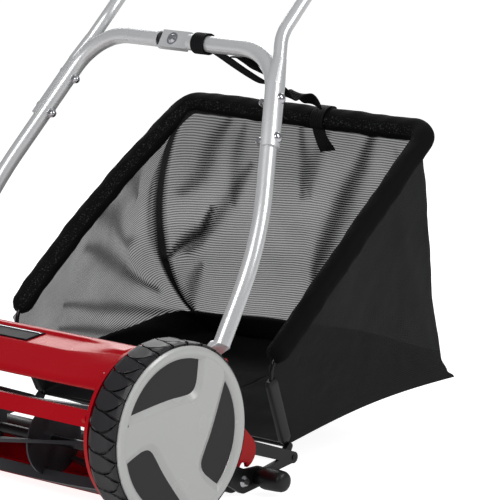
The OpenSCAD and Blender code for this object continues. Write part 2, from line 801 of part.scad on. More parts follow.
module clip_strips() {
    a = bag_front + 0.3 * (rim_low - bag_front);
    b = bag_front + 0.85 * (rim_low - bag_front);
    color("black") difference() {
        both() across(bag_x, 6) link(a, 6.01, b, 6);
        wire_path(0);
    }
}
module strap_patch() {
    r = hem_r + 2;
    color("black") across(strap_x - strap_w / 2 - 4, strap_w) {
        translate(rim_top) intersection() {
            difference() {
                circle(r = r);
                circle(r = hem_r + fit);
            }
            translate([-r, 0]) square([2 * r, r]);
        }
        translate(rim_top + [-r, -42]) square([2, 42]);
    }
}

// Strap between crossbar and catcher
module strap_loop() {
    color("black") tube_x(strap_x - strap_w / 2, strap_x + strap_w / 2, cross_c, tube_r + play + strap_t, tube_r + play);
}
module strap_band() {
    d = unit(rim_top - cross_c);
    side = [d[1], -d[0]] * strap_t / 2;
    a = cross_c + (tube_r + play + strap_t) * d;
    b = rim_top - (hem_r + 9) * d;
    color("black") across(strap_x - strap_w / 2, strap_w) polygon([a + side, a - side, b - side, b + side]);
}

side_plate_left();
side_plate_right();
deck_cover();
deck_inset();
front_bar();
plate_screws();
bearing_housing_left();
bearing_housing_right();
reel_bearings();
stub_axles();
axle_nuts();
axle_washers();
handle_pivots();
handle_stops();
bracket_pivots();
catcher_arm_left();
catcher_arm_right();
knife_carrier();
bedknife();
knife_screws();
knife_pins();
wheel_hub_left();
ring_gear_left();
tyre_left();
wheel_cover_left();
wheel_bush_left();
wheel_hub_right();
ring_gear_right();
tyre_right();
wheel_cover_right();
wheel_bush_right();
reel_shaft();
reel_discs();
reel_blades();
pinions();
shaft_circlips();
roller_bracket_left();
roller_bracket_right();
roller_shaft();
height_grips();
roller();
roller_bushes();
lower_handle_left();
lower_handle_right();
upper_handle();
foam_grip();
handle_bolts();
handle_nuts();
centre_bolt();
centre_nut();
catcher_frame();
catcher_hem();
catcher_mesh();
catcher_floor();
catcher_lugs();
clip_strips();
strap_patch();
strap_loop();
strap_band();
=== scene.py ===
# %% [markdown]
# # A reel mower with a rear roller and a cloth grass catcher
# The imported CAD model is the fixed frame: plates, gears, tubes and fasteners stand where they were
# drawn. This lesson gives each of them its finish, and remakes the pieces whose looks need more than
# a plain solid: tyres, wheel faces, deck, catcher cloth, webbing and bolt heads.

# %% Load the frame
import json
import math

import bmesh
import bpy
from mathutils import Matrix, Vector, noise


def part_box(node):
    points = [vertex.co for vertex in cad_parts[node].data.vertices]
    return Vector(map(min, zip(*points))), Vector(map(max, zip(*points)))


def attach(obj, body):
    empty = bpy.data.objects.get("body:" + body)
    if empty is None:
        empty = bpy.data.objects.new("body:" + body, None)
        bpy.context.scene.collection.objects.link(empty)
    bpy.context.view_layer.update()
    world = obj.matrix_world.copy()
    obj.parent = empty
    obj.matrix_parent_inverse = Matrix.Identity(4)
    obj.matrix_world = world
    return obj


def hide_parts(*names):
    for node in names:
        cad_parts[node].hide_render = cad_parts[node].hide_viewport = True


MM = 0.001
scene = bpy.context.scene
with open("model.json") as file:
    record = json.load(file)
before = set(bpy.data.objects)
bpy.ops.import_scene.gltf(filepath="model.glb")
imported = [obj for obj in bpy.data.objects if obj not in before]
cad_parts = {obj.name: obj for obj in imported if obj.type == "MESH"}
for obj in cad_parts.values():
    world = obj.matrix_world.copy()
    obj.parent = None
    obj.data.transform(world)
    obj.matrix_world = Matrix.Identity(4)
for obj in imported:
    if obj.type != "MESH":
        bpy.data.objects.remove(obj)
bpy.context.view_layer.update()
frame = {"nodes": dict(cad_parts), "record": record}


def node_box(name):
    """The lowest and highest corners of a frame node, in mm, to a hundredth."""
    return [[round(value / MM, 2) for value in corner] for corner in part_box(name)]


# %% [markdown]
# ## Camera and studio
# A long lens stands to the front left, a little above the mower. The floor and the room are plain and
# pale. What the camera sees of the room is white, and what the paint mirrors is a softer grey with one
# large lamp above and behind, so that upward faces glow and upright faces keep their full colour.

# %% Camera
TURN, RISE = math.radians(42.857), math.radians(10.37)
camera = bpy.data.objects.new("camera", bpy.data.cameras.new("camera"))
camera.data.lens = 241.85
camera.data.sensor_width = 36
camera.data.clip_end = 80
camera.location = (2.7886, -2.5904, 0.9727)
looking = Vector((-math.sin(TURN) * math.cos(RISE), math.cos(TURN) * math.cos(RISE), -math.sin(RISE)))
camera.rotation_euler = looking.to_track_quat("-Z", "Y").to_euler()
scene.collection.objects.link(camera)
scene.camera = camera

# %% Room, lamps and floor
MIDDLE = Vector((0, 0.2, 0.25))  # what the lamps are aimed at
FLOOR_REACH = 60.0
scene.view_settings.view_transform = "Standard"
room = bpy.data.worlds.new("room")
scene.world = room
room.use_nodes = True
tree = room.node_tree
tree.nodes.clear()
seen_by = tree.nodes.new("ShaderNodeLightPath")
walls = tree.nodes.new("ShaderNodeBackground")
walls.inputs["Color"].default_value = (0.80, 0.82, 0.85, 1)
walls.inputs["Strength"].default_value = 0.24
backdrop = tree.nodes.new("ShaderNodeBackground")
backdrop.inputs["Color"].default_value = (1, 1, 1, 1)
choose = tree.nodes.new("ShaderNodeMixShader")
tree.links.new(seen_by.outputs["Is Camera Ray"], choose.inputs[0])
tree.links.new(walls.outputs[0], choose.inputs[1])
tree.links.new(backdrop.outputs[0], choose.inputs[2])
tree.links.new(choose.outputs[0], tree.nodes.new("ShaderNodeOutputWorld").inputs["Surface"])


def softbox(name, direction, distance, size, power):
    """A rectangular lamp that shines at the middle of the mower from a direction."""
    lamp = bpy.data.objects.new(name, bpy.data.lights.new(name, "AREA"))
    lamp.data.shape = "RECTANGLE"
    lamp.data.size, lamp.data.size_y = size
    lamp.data.energy = power
    lamp.location = MIDDLE + Vector(direction).normalized() * distance
    lamp.rotation_euler = (MIDDLE - lamp.location).to_track_quat("-Z", "Y").to_euler()
    scene.collection.objects.link(lamp)


softbox("top_light", (-0.60, 0.70, 0.52), 2.4, (1.9, 1.3), 24)
softbox("front_light", (0.15, -1.0, 0.75), 2.6, (1.2, 1.2), 30)
softbox("side_light", (0.85, 0.22, 0.66), 2.4, (0.8, 1.4), 20)

bm = bmesh.new()
bmesh.ops.create_grid(bm, x_segments=1, y_segments=1, size=FLOOR_REACH)
floor = bpy.data.objects.new("floor", bpy.data.meshes.new("floor"))
bm.to_mesh(floor.data)
bm.free()
scene.collection.objects.link(floor)

# %% [markdown]
# ## Finishes
# The same small effects come back on most pieces: paint and plastic are never one flat tone, cloth has
# threads, and cut steel has fine lines. Each effect is one node group, placed in every material that
# needs it with its own numbers.

# %% Node group: uneven tone and fine grain
TONE_SWING, GLOSS_SWING = 4.0, 0.22  # how far tone and roughness go with the patches


def srgb(red, green, blue):
    """A colour as seen on a screen, 0 to 255, as the linear numbers that shaders use."""
    parts = [c / 255 / 12.92 if c < 11 else ((c / 255 + 0.055) / 1.055) ** 2.4 for c in (red, green, blue)]
    return (*parts, 1)


def new_group(name, inputs, outputs):
    group = bpy.data.node_groups.new(name, "ShaderNodeTree")
    for title, value in inputs:
        length = len(value) if isinstance(value, tuple) else 1
        kind = {1: "NodeSocketFloat", 3: "NodeSocketVector", 4: "NodeSocketColor"}[length]
        group.interface.new_socket(title, in_out="INPUT", socket_type=kind).default_value = value
    for title, kind in outputs:
        group.interface.new_socket(title, in_out="OUTPUT", socket_type=kind)
    return group, group.nodes.new("NodeGroupInput"), group.nodes.new("NodeGroupOutput")


def sums(group):
    """A short way to write arithmetic with Math nodes in a tree."""
    def work(operation, *values, clamp=False):
        node = group.nodes.new("ShaderNodeMath")
        node.operation = operation
        node.use_clamp = clamp
        for socket, value in zip(node.inputs, values):
            if isinstance(value, (int, float)):
                socket.default_value = value
            else:
                group.links.new(value, socket)
        return node.outputs[0]
    return work


def noise_value(group, vector, scale, detail=3.0):
    node = group.nodes.new("ShaderNodeTexNoise")
    node.inputs["Detail"].default_value = detail
    if isinstance(scale, (int, float)):
        node.inputs["Scale"].default_value = scale
    else:
        group.links.new(scale, node.inputs["Scale"])
    group.links.new(vector, node.inputs["Vector"])
    return node.outputs["Fac"]


def scaled(group, colour, factor):
    """The colour made lighter or darker by a factor."""
    node = group.nodes.new("ShaderNodeVectorMath")
    node.operation = "SCALE"
    group.links.new(colour, node.inputs[0])
    group.links.new(factor, node.inputs["Scale"])
    return node.outputs[0]


uneven, into, out = new_group(
    "uneven_tone",
    [("Colour", (0.5, 0.5, 0.5, 1)), ("Roughness", 0.4), ("Tone", 0.06), ("Patches", 12.0), ("Grain", 900.0)],
    [("Colour", "NodeSocketColor"), ("Roughness", "NodeSocketFloat"), ("Height", "NodeSocketFloat")])
place = uneven.nodes.new("ShaderNodeTexCoord").outputs["Object"]
work = sums(uneven)
patch = work("SUBTRACT", noise_value(uneven, place, into.outputs["Patches"]), 0.5)
fine = noise_value(uneven, place, into.outputs["Grain"], 2.0)
tone = work("ADD", 1.0, work("MULTIPLY", work("MULTIPLY", patch, TONE_SWING), into.outputs["Tone"]))
gloss = work("ADD", into.outputs["Roughness"], work("MULTIPLY", patch, GLOSS_SWING), clamp=True)
uneven.links.new(scaled(uneven, into.outputs["Colour"], tone), out.inputs["Colour"])
uneven.links.new(gloss, out.inputs["Roughness"])
uneven.links.new(fine, out.inputs["Height"])

# %% Node group: crossing threads
WOBBLE_SCALE, WOBBLE = 60.0, 0.0016  # rows of thread are never quite straight
net, into, out = new_group(
    "threads",
    [("Vector", (0.0, 0.0, 0.0)), ("Along", 500.0), ("Across", 500.0), ("Sharp", 1.0)],
    [("Rows", "NodeSocketFloat"), ("Cover", "NodeSocketFloat"), ("Height", "NodeSocketFloat")])
work = sums(net)
parts = net.nodes.new("ShaderNodeSeparateXYZ")
net.links.new(into.outputs["Vector"], parts.inputs[0])


def thread(value, count):
    wave = work("SINE", work("MULTIPLY", work("MULTIPLY", value, count), 2 * math.pi))
    return work("POWER", work("ADD", work("MULTIPLY", wave, 0.5), 0.5, clamp=True), into.outputs["Sharp"])


drift = noise_value(net, into.outputs["Vector"], WOBBLE_SCALE)
wobble = work("MULTIPLY", work("SUBTRACT", drift, 0.5), WOBBLE)
rows = thread(work("ADD", parts.outputs["Y"], wobble), into.outputs["Across"])
columns = thread(parts.outputs["X"], into.outputs["Along"])
net.links.new(rows, out.inputs["Rows"])
net.links.new(work("MAXIMUM", rows, columns), out.inputs["Cover"])
net.links.new(work("ADD", rows, columns), out.inputs["Height"])

# %% Paint, plastic and metal
FINISH = {}


def new_material(name):
    """A material, kept in FINISH under its name. Returns its tree and its shader."""
    material = bpy.data.materials.new(name)
    material.use_nodes = True
    FINISH[name] = material
    return material.node_tree, material.node_tree.nodes["Principled BSDF"]


def put(tree, group, **values):
    """Places a node group in a tree, with these numbers on its sockets."""
    node = tree.nodes.new("ShaderNodeGroup")
    node.node_tree = group
    for title, value in values.items():
        node.inputs[title].default_value = value
    return node


def bump(tree, height, strength, distance):
    node = tree.nodes.new("ShaderNodeBump")
    node.inputs["Strength"].default_value = strength
    node.inputs["Distance"].default_value = distance
    tree.links.new(height, node.inputs["Height"])
    return node.outputs["Normal"]


def wear(tree, shader, look, colour=None, normal=None):
    """Gives the shader the colour and roughness of a look, or a colour of its own, and its relief."""
    tree.links.new(colour or look.outputs["Colour"], shader.inputs["Base Color"])
    tree.links.new(look.outputs["Roughness"], shader.inputs["Roughness"])
    if normal:
        tree.links.new(normal, shader.inputs["Normal"])


def hard(name, colour, roughness, metal=0.0, coat=0.0, tone=0.05, patches=12.0, grain=900.0, relief=0.1,
         depth=0.15 * MM, specular=0.5, glint=(1, 1, 1, 1)):
    """A hard finish: its tone and gloss wander a little, and a fine grain breaks the reflections."""
    tree, shader = new_material(name)
    shader.inputs["Metallic"].default_value = metal
    shader.inputs["Coat Weight"].default_value = coat
    shader.inputs["Coat Roughness"].default_value = 0.06
    shader.inputs["Specular IOR Level"].default_value = specular
    shader.inputs["Specular Tint"].default_value = glint
    look = put(tree, uneven, Colour=colour, Roughness=roughness, Tone=tone, Patches=patches, Grain=grain)
    wear(tree, shader, look, normal=bump(tree, look.outputs["Height"], relief, depth))


hard("red_paint", srgb(178, 0, 24), 0.26, coat=0.04, tone=0.02, grain=420.0, relief=0.015, specular=0.6,
     glint=(1.0, 0.30, 0.16, 1))
hard("silver_paint", srgb(222, 223, 224), 0.28, metal=0.4, tone=0.02, grain=1500.0, relief=0.10)
hard("black_paint", srgb(11, 11, 12), 0.36, tone=0.08, grain=600.0, relief=0.08)
hard("label", srgb(14, 14, 17), 0.42, tone=0.05, relief=0.02, specular=0.12)
hard("wheel_grey", srgb(196, 197, 194), 0.24, tone=0.01, grain=1300.0, relief=0.02, specular=0.9)
hard("dark_plastic", srgb(43, 41, 42), 0.6, tone=0.05, grain=1400.0, relief=0.18)
hard("black_plastic", srgb(17, 17, 18), 0.42, tone=0.08, grain=1200.0, relief=0.15)
hard("tyre", srgb(31, 28, 31), 0.42, tone=0.10, patches=30.0, grain=700.0, relief=0.22)
hard("steel", srgb(176, 177, 180), 0.30, metal=1.0, tone=0.06, grain=1600.0, relief=0.12)
hard("blade_steel", srgb(66, 66, 70), 0.34, metal=0.6, tone=0.12, grain=500.0, relief=0.15)
hard("bright_steel", srgb(214, 214, 218), 0.14, metal=1.0, tone=0.03, relief=0.04)
hard("bronze", srgb(176, 136, 74), 0.36, metal=1.0, tone=0.08, relief=0.10)
hard("foam", srgb(34, 34, 35), 0.85, tone=0.10, grain=520.0, relief=0.5, depth=0.4 * MM)

# %% Cloth: net, hem and webbing


def cloth_material(name):
    tree, shader = new_material(name)
    shader.inputs["Specular IOR Level"].default_value = 0.12
    return tree, shader, tree.nodes.new("ShaderNodeUVMap").outputs["UV"], sums(tree)


# The net: knitted rows that let the light through, closed where a fold doubles it and where shade is painted
COVER, ROW_COVER, PATCH_COVER = 0.72, 0.22, 0.10  # share of the net that hides what is behind it
tree, shader, uv, work = cloth_material("mesh_cloth")
knit = put(tree, net, Along=300.0, Across=330.0, Sharp=0.7)
tree.links.new(uv, knit.inputs["Vector"])
doubled_and_shade = tree.nodes.new("ShaderNodeAttribute")
doubled_and_shade.attribute_name = "cover_and_shade"
patchy = noise_value(tree, uv, 14.0)
cover = work("ADD", COVER, work("MULTIPLY", knit.outputs["Rows"], ROW_COVER))
cover = work("ADD", cover, work("MULTIPLY", work("SUBTRACT", patchy, 0.5), PATCH_COVER))
# closed further, and so darker, in the creases and on the near wall: doubled cloth and painted shade
cover = work("ADD", cover, doubled_and_shade.outputs["Fac"], clamp=True)
tree.links.new(cover, shader.inputs["Alpha"])
look = put(tree, uneven, Colour=srgb(34, 34, 34), Roughness=0.7, Tone=0.12, Patches=14.0, Grain=800.0)
wear(tree, shader, look, normal=bump(tree, knit.outputs["Height"], 0.3, 0.4 * MM))

# Close-woven floor cloth and strap webbing
for name, colour, along, across, relief in [("floor_cloth", srgb(20, 20, 22), 900.0, 900.0, 0.25),
                                            ("webbing", srgb(19, 19, 21), 650.0, 280.0, 0.8)]:
    tree, shader, uv, work = cloth_material(name)
    weave = put(tree, net, Along=along, Across=across, Sharp=1.0)
    tree.links.new(uv, weave.inputs["Vector"])
    look = put(tree, uneven, Colour=colour, Roughness=0.6, Tone=0.15, Patches=20.0, Grain=900.0)
    shade = work("ADD", 0.7, work("MULTIPLY", weave.outputs["Rows"], 0.6))
    wear(tree, shader, look, scaled(tree, look.outputs["Colour"], shade),
         bump(tree, weave.outputs["Height"], relief, 0.3 * MM))

# The hem: smooth binding on both edges, and a hooked fleece band between them, by the place round it
FLEECE_MID, FLEECE_HALF, FLEECE_EDGE = 0.135, 0.085, 120.0
FLUFF_SCALE, SPECK_FROM, SPECK_GAIN = 520.0, 0.58, 6.0
MIX_SHARE, MIX_FIRST, MIX_SECOND, MIX_RESULT = 0, 6, 7, 2  # the colour sockets of a Mix node
tree, shader, uv, work = cloth_material("hem_cloth")
spot = tree.nodes.new("ShaderNodeSeparateXYZ")
tree.links.new(uv, spot.inputs[0])
from_mid = work("ABSOLUTE", work("SUBTRACT", spot.outputs["Y"], FLEECE_MID))
fleece = work("MULTIPLY", work("SUBTRACT", FLEECE_HALF, from_mid), FLEECE_EDGE, clamp=True)
place = tree.nodes.new("ShaderNodeTexCoord").outputs["Object"]
fluff = noise_value(tree, place, FLUFF_SCALE, 4.0)
specks = work("MULTIPLY", work("SUBTRACT", fluff, SPECK_FROM), SPECK_GAIN, clamp=True)
specks = work("MULTIPLY", specks, fleece)
look = put(tree, uneven, Colour=srgb(10, 10, 11), Roughness=0.8, Tone=0.15, Patches=18.0, Grain=700.0)
blend_colour = tree.nodes.new("ShaderNodeMix")
blend_colour.data_type = "RGBA"
tree.links.new(specks, blend_colour.inputs[MIX_SHARE])
tree.links.new(look.outputs["Colour"], blend_colour.inputs[MIX_FIRST])
blend_colour.inputs[MIX_SECOND].default_value = srgb(84, 86, 88)
nap = work("ADD", work("MULTIPLY", fluff, fleece), work("MULTIPLY", look.outputs["Height"], 0.3))
wear(tree, shader, look, blend_colour.outputs[MIX_RESULT], bump(tree, nap, 0.7, 0.8 * MM))

# The floor glows a little of itself, and more where the camera sees it
FLOOR_GLOW, FLOOR_GLOW_SEEN = 0.32, 0.6
tree, shader = new_material("floor_white")
work = sums(tree)
by_eye = tree.nodes.new("ShaderNodeLightPath").outputs["Is Camera Ray"]
glow = work("ADD", FLOOR_GLOW, work("MULTIPLY", by_eye, FLOOR_GLOW_SEEN))
tree.links.new(glow, shader.inputs["Emission Strength"])
shader.inputs["Emission Color"].default_value = (1, 1, 1, 1)
look = put(tree, uneven, Colour=(0.5, 0.5, 0.5, 1), Roughness=0.7, Tone=0.004, Patches=2.0, Grain=50.0)
wear(tree, shader, look)
floor.data.materials.append(FINISH["floor_white"])

# %% Give each CAD node the finish that the record names
SLOT = {part["node"]: part["material_slot"] for part in frame["record"]["subparts"]}
for name, node in frame["nodes"].items():
    node.data.materials.clear()
    node.data.materials.append(FINISH[SLOT[name]])
print("finished", len(SLOT), "frame nodes")

# %% [markdown]
# ## Tools for the new pieces
# Two ways of making a shape serve for nearly everything here: a sheet of grid squares bent by a
# function, for cloth, webbing and pressed metal, and a profile spun round an axis, for tyres, bolt
# heads and grips.

# %% Bent sheet and spun profile


def add_piece(name, bm, slot, body, smooth=40, stands_for=()):
    """Makes a bmesh an object at the origin, with its finish, its body and its edges of that angle sharp."""
    mesh = bpy.data.meshes.new(name)
    bm.to_mesh(mesh)
    bm.free()
    mesh.polygons.foreach_set("use_smooth", [True] * len(mesh.polygons))
    mesh.set_sharp_from_angle(angle=math.radians(smooth))
    mesh.materials.append(FINISH[slot])
    piece = bpy.data.objects.new(name, mesh)
    scene.collection.objects.link(piece)
    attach(piece, body)
    if stands_for:
        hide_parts(*stands_for)
    print(name, len(mesh.polygons), "faces")
    return piece


def add_pair(name, bm, slot, body, smooth=40, stands_for=None):
    """A piece for the right, mirrored, and one for the left, on a pair of bodies and for a pair of nodes."""
    for side, shape in (("right", mirrored(bm)), ("left", bm)):
        nodes = [f"{stands_for}_{side}"] if stands_for else ()
        add_piece(f"{name}_{side}", shape, slot, f"{body}_{side}", smooth, nodes)


def bent_sheet(point, columns, rows, size):
    """A grid whose points go where point(u, v) says, in millimetres. size is its size in metres, for UVs."""
    bm = bmesh.new()
    bmesh.ops.create_grid(bm, x_segments=columns, y_segments=rows, size=0.5)
    cloth = bm.loops.layers.uv.new("cloth")
    for face in bm.faces:
        for loop in face.loops:
            loop[cloth].uv = ((loop.vert.co.x + 0.5) * size[0], (loop.vert.co.y + 0.5) * size[1])
    for vert in bm.verts:
        vert.co = Vector(point(vert.co.x + 0.5, vert.co.y + 0.5)) * MM
    bmesh.ops.recalc_face_normals(bm, faces=bm.faces)
    return bm


def spun(profile, centre, axis=(1, 0, 0), steps=48, ring=False):
    """Turns (place along the axis, radius) points, in mm, into a round piece. ring joins the line's ends."""
    bm = bmesh.new()
    verts = [bm.verts.new((along * MM, radius * MM, 0)) for along, radius in profile]
    edges = [bm.edges.new(pair) for pair in zip(verts, verts[1:])]
    if ring:
        edges.append(bm.edges.new((verts[-1], verts[0])))
    bmesh.ops.spin(bm, geom=verts + edges, cent=(0, 0, 0), axis=(1, 0, 0), angle=2 * math.pi, steps=steps,
                   use_merge=True)
    bmesh.ops.remove_doubles(bm, verts=bm.verts, dist=0.005 * MM)
    bmesh.ops.recalc_face_normals(bm, faces=bm.faces)
    turn = Vector((1, 0, 0)).rotation_difference(Vector(axis)).to_matrix().to_4x4()
    bmesh.ops.transform(bm, matrix=Matrix.Translation(Vector(centre) * MM) @ turn, verts=bm.verts)
    return bm


def merged(pieces):
    """Several bmeshes as one."""
    whole = bmesh.new()
    for bm in pieces:
        mesh = bpy.data.meshes.new("part")
        bm.to_mesh(mesh)
        bm.free()
        whole.from_mesh(mesh)
        bpy.data.meshes.remove(mesh)
    return whole


def mirrored(bm):
    """A copy of the piece on the other side of the mower."""
    twin = bm.copy()
    bmesh.ops.scale(twin, vec=(-1, 1, 1), verts=twin.verts)
    bmesh.ops.reverse_faces(twin, faces=twin.faces)
    return twin


def solid(piece, thickness, offset=0.0):
    """Gives a sheet its thickness in mm: to both sides, or behind its face where offset is -1."""
    wall = piece.modifiers.new("thickness", "SOLIDIFY")
    wall.thickness = thickness * MM
    wall.offset = offset


def mix(a, b, t):
    """The point a share t of the way from a to b."""
    return [x + (y - x) * t for x, y in zip(a, b)]


def ease(t):
    """Goes from 0 to 1 as t does, and starts and ends gently."""
    t = min(1.0, max(0.0, t))
    return t * t * (3 - 2 * t)


# %% [markdown]
# ## Tyres
# The tyre is a rubber ring with chunky blocks: broad lobes that hang over its inner shoulder and run
# to a narrow neck, and small wedges between the necks. The grooves between them read as a Y. One
# lobe and one wedge are drawn flat, given their height, bent round the ring and repeated.

# %% Tread
# An outline's points are (share of the width, share of a block's pitch). GROOVE is left free beside it.
(TYRE_IN, _, tyre_low), (tyre_out, _, tyre_high) = node_box("tyre_left")
TYRE_WIDTH, TREAD_R, AXLE_Z = tyre_out - TYRE_IN, (tyre_high - tyre_low) / 2, (tyre_high + tyre_low) / 2
GROOVE_R = TREAD_R - 3.4
BLOCKS, GROOVE = 28, 0.055
BEND_CUTS = (0.09, 0.3, 0.5, 0.7, 0.91)
SHOULDER, TREAD_FALL, GROOVE_FALL, BLOCK_ROUND = 3.6, 0.16, 0.5, 0.9
lobe = [(0, 0.02 + GROOVE), (0.10, -0.10 + GROOVE), (0.24, -0.19 + GROOVE), (0.42, -0.25 + GROOVE),
        (0.72, -0.06 + GROOVE), (0.88, 0.12 + GROOVE), (1, 0.33 + GROOVE), (1, 0.46 - GROOVE),
        (0.72, 0.58 - GROOVE), (0.42, 0.75 - GROOVE), (0.24, 0.81 - GROOVE), (0.10, 0.90 - GROOVE),
        (0, 1.02 - GROOVE), (-0.035, 0.80), (-0.05, 0.52), (-0.035, 0.24)]
wedge = [(0.53, -0.26), (1, -0.54 + GROOVE), (1, 0.33 - GROOVE), (0.86, 0.06 - GROOVE),
         (0.70, -0.12 - GROOVE)]


def tread_block(outline):
    """A block that stands on the outline, bent round the wheel, with its top edges rounded."""
    bm = bmesh.new()
    face = bm.faces.new([bm.verts.new((s * TYRE_WIDTH, a, 0)) for s, a in outline])
    raised = bmesh.ops.extrude_face_region(bm, geom=[face])["geom"]
    for vert in raised:
        if isinstance(vert, bmesh.types.BMVert):
            vert.co.z = 1
    for cut in BEND_CUTS:
        bmesh.ops.bisect_plane(bm, geom=bm.verts[:] + bm.edges[:] + bm.faces[:], plane_no=(1, 0, 0),
                               plane_co=(cut * TYRE_WIDTH, 0, 0), dist=1e-5)
    for vert in bm.verts:
        across, along, top = vert.co
        shoulder = max(0.0, SHOULDER - across, across - TYRE_WIDTH + SHOULDER)
        radius = TREAD_R - TREAD_FALL * shoulder ** 1.6 if top else GROOVE_R - GROOVE_FALL * shoulder
        angle = math.pi - along * 2 * math.pi / BLOCKS
        vert.co = Vector((TYRE_IN + across, radius * math.cos(angle), AXLE_Z + radius * math.sin(angle))) * MM
    top_edges = [e for e in bm.edges if len(e.link_faces) == 2 and e.calc_face_angle(0) > 0.9]
    bmesh.ops.bevel(bm, geom=top_edges, offset=BLOCK_ROUND * MM, segments=2, profile=0.5, affect="EDGES",
                    material=-1)
    for vert in bm.verts:  # sharp corners shoot out of a bevel, so nothing may pass the tread's own radius
        arm = Vector((vert.co.y, vert.co.z - AXLE_Z * MM))
        if arm.length > TREAD_R * MM:
            arm.length = TREAD_R * MM
            vert.co.y, vert.co.z = arm.x, arm.y + AXLE_Z * MM
    bmesh.ops.recalc_face_normals(bm, faces=bm.faces)
    return bm


def tyre():
    ring = [(0.6, 94), (0.2, 98.2), (2.5, 101.0), (6, GROOVE_R + 0.2), (33.4, GROOVE_R + 0.2), (37.6, 101.0),
            (39.2, 98.6), (39.2, 94)]
    parts = [spun([(TYRE_IN + x, radius) for x, radius in ring], (0, 0, AXLE_Z), steps=84, ring=True)]
    for outline in (lobe, wedge):
        block = tread_block(outline)
        for step in range(BLOCKS):
            copy = block.copy()
            bmesh.ops.rotate(copy, cent=(0, 0, AXLE_Z * MM), verts=copy.verts,
                             matrix=Matrix.Rotation(2 * math.pi * step / BLOCKS, 3, "X"))
            parts.append(copy)
        block.free()
    return merged(parts)


add_pair("tread", tyre(), "tyre", "wheel", 35, "tyre")

# %% [markdown]
# ## Wheel faces
# Each wheel wears a silver face: a flat ring and three broad spokes whose edges slope down to dark
# panels set behind them. The spokes are what is left between three windows. Each window's edge is
# carried away from it in steps that rise to the flat top, which gives the slope the same width
# everywhere, as a moulding has.

# %% Ring, spokes and panels
# A window's points are shares of its reach. SLOPE holds (distance from the window, height) in mm.
FACE_X, COVER_R, _ = node_box("wheel_cover_left")[1]
WINDOW_REACH, SPOKE_END = 0.985 * COVER_R, 93.4
WINDOW_TURNS, WINDOW_MID = (-98, 22, 142), (0, 0.75)
END_ARC = (143, 150, 157)  # degrees past a window's turn, where the spoke's end is tucked under the ring
SLOPE = [(0.0, -4.6), (6.4, -1.3), (7.4, -0.8), (8.4, -0.5), (9.4, -0.4)]
window = [(0.61, 0.72), (0.57, 0.66), (0.52, 0.56), (0.43, 0.41), (0.33, 0.36), (0.2, 0.4), (-0.03, 0.49),
          (-0.60, 0.635), (-0.68, 0.655)]


def smoother(points, times=2):
    """Cuts the corners of an open line, and keeps its ends."""
    for _ in range(times):
        cut = [points[0]]
        for a, b in zip(points, points[1:]):
            cut += [mix(a, b, 0.25), mix(a, b, 0.75)]
        points = cut + [points[-1]]
    return points


def turned(point, degrees):
    """A (y, z) point turned round the wheel's axis."""
    c, s = math.cos(math.radians(degrees)), math.sin(math.radians(degrees))
    return Vector((point[0] * c - point[1] * s, point[0] * s + point[1] * c))


def spokes():
    """The three spokes in one piece."""
    bm = bmesh.new()

    def corner(place, rise):
        return bm.verts.new(((FACE_X + rise) * MM, place.x * MM, (AXLE_Z + place.y) * MM))

    flat = []
    for turn in WINDOW_TURNS:
        line, middle = [turned(point, turn) for point in smoother(window)], turned(WINDOW_MID, turn)
        ways = []
        for k, point in enumerate(line):
            ahead = line[min(len(line) - 1, k + 1)] - line[max(0, k - 1)]
            away = Vector((-ahead.y, ahead.x)).normalized()
            ways.append(-away if away.dot(middle - point) > 0 else away)
        rows = [[corner(point * WINDOW_REACH + away * out, rise) for point, away in zip(line, ways)]
                for out, rise in SLOPE]
        for a, b in zip(rows, rows[1:]):
            for k in range(len(a) - 1):
                bm.faces.new((a[k], a[k + 1], b[k + 1], b[k]))
        flat += rows[-1] + [corner(turned((SPOKE_END, 0), turn + past), SLOPE[-1][1]) for past in END_ARC]
    bm.faces.new(flat)
    bmesh.ops.recalc_face_normals(bm, faces=bm.faces)
    return bm


def wheel_face():
    ring = [(-4.6, 86.4), (-3.7, 86.8), (-0.5, 90.8), (0, 92.4), (0, 96.0), (-0.6, 98.2), (-2.6, COVER_R),
            (-4.6, COVER_R)]
    ring = [(FACE_X + x, radius) for x, radius in ring]
    return merged([spun(ring, (0, 0, AXLE_Z), steps=128, ring=True), spokes()])


add_pair("wheel_face", wheel_face(), "wheel_grey", "wheel", 25, "wheel_cover")
dish = [(-4.7, 0), (-4.7, 60), (-4.5, 88), (-4.9, 91), (-5.7, 91), (-5.7, 0)]
panel = spun([(FACE_X + x, radius) for x, radius in dish], (0, 0, AXLE_Z), steps=96)
add_pair("wheel_panel", panel, "dark_plastic", "wheel")

# %% [markdown]
# ## Deck
# The deck is pressed from one sheet. In the middle a nearly flat facet carries the dark inset and
# meets the front face at a soft crease. Towards each end that crease sweeps up to the rear lip, and a
# second, lower facet rises out of the front face. The section is therefore a line of points that
# slide from their middle places to their end places.

# %% Pressed deck
DECK_X = node_box("deck_cover")[1][0]
DECK_SHEET, STEPS_PER_EDGE = 2.8, 2
FRONT_CREASE, TOP_CREASE = (158, 62), (146, 70)  # where each crease starts to sweep up, and over what length
FRONT_POINTS = 5  # how many points of the section go with the front crease
deck_mid = [(-75.6, 160.9), (-59.6, 174.1), (-55.0, 177.9), (-50.0, 182.0), (-45.0, 186.2), (-42.6, 188.0),
            (-39.6, 188.9), (-30.0, 191.2), (-16.6, 194.4), (-15.5, 195.2), (-14.8, 196.9), (-13.6, 197.8),
            (-7.4, 198.2), (-5.4, 197.6), (13.4, 189.0)]
deck_end = [(-75.6, 160.9), (-52.6, 181.2), (-49.6, 183.9), (-46.6, 185.9), (-43.4, 187.6), (-34.6, 192.0),
            (-32.0, 193.2), (-30.6, 195.0), (-28.8, 196.8), (-25.5, 197.3), (-20.0, 197.7), (-14.0, 198.1),
            (-7.4, 198.3), (-5.4, 197.7), (13.4, 189.0)]


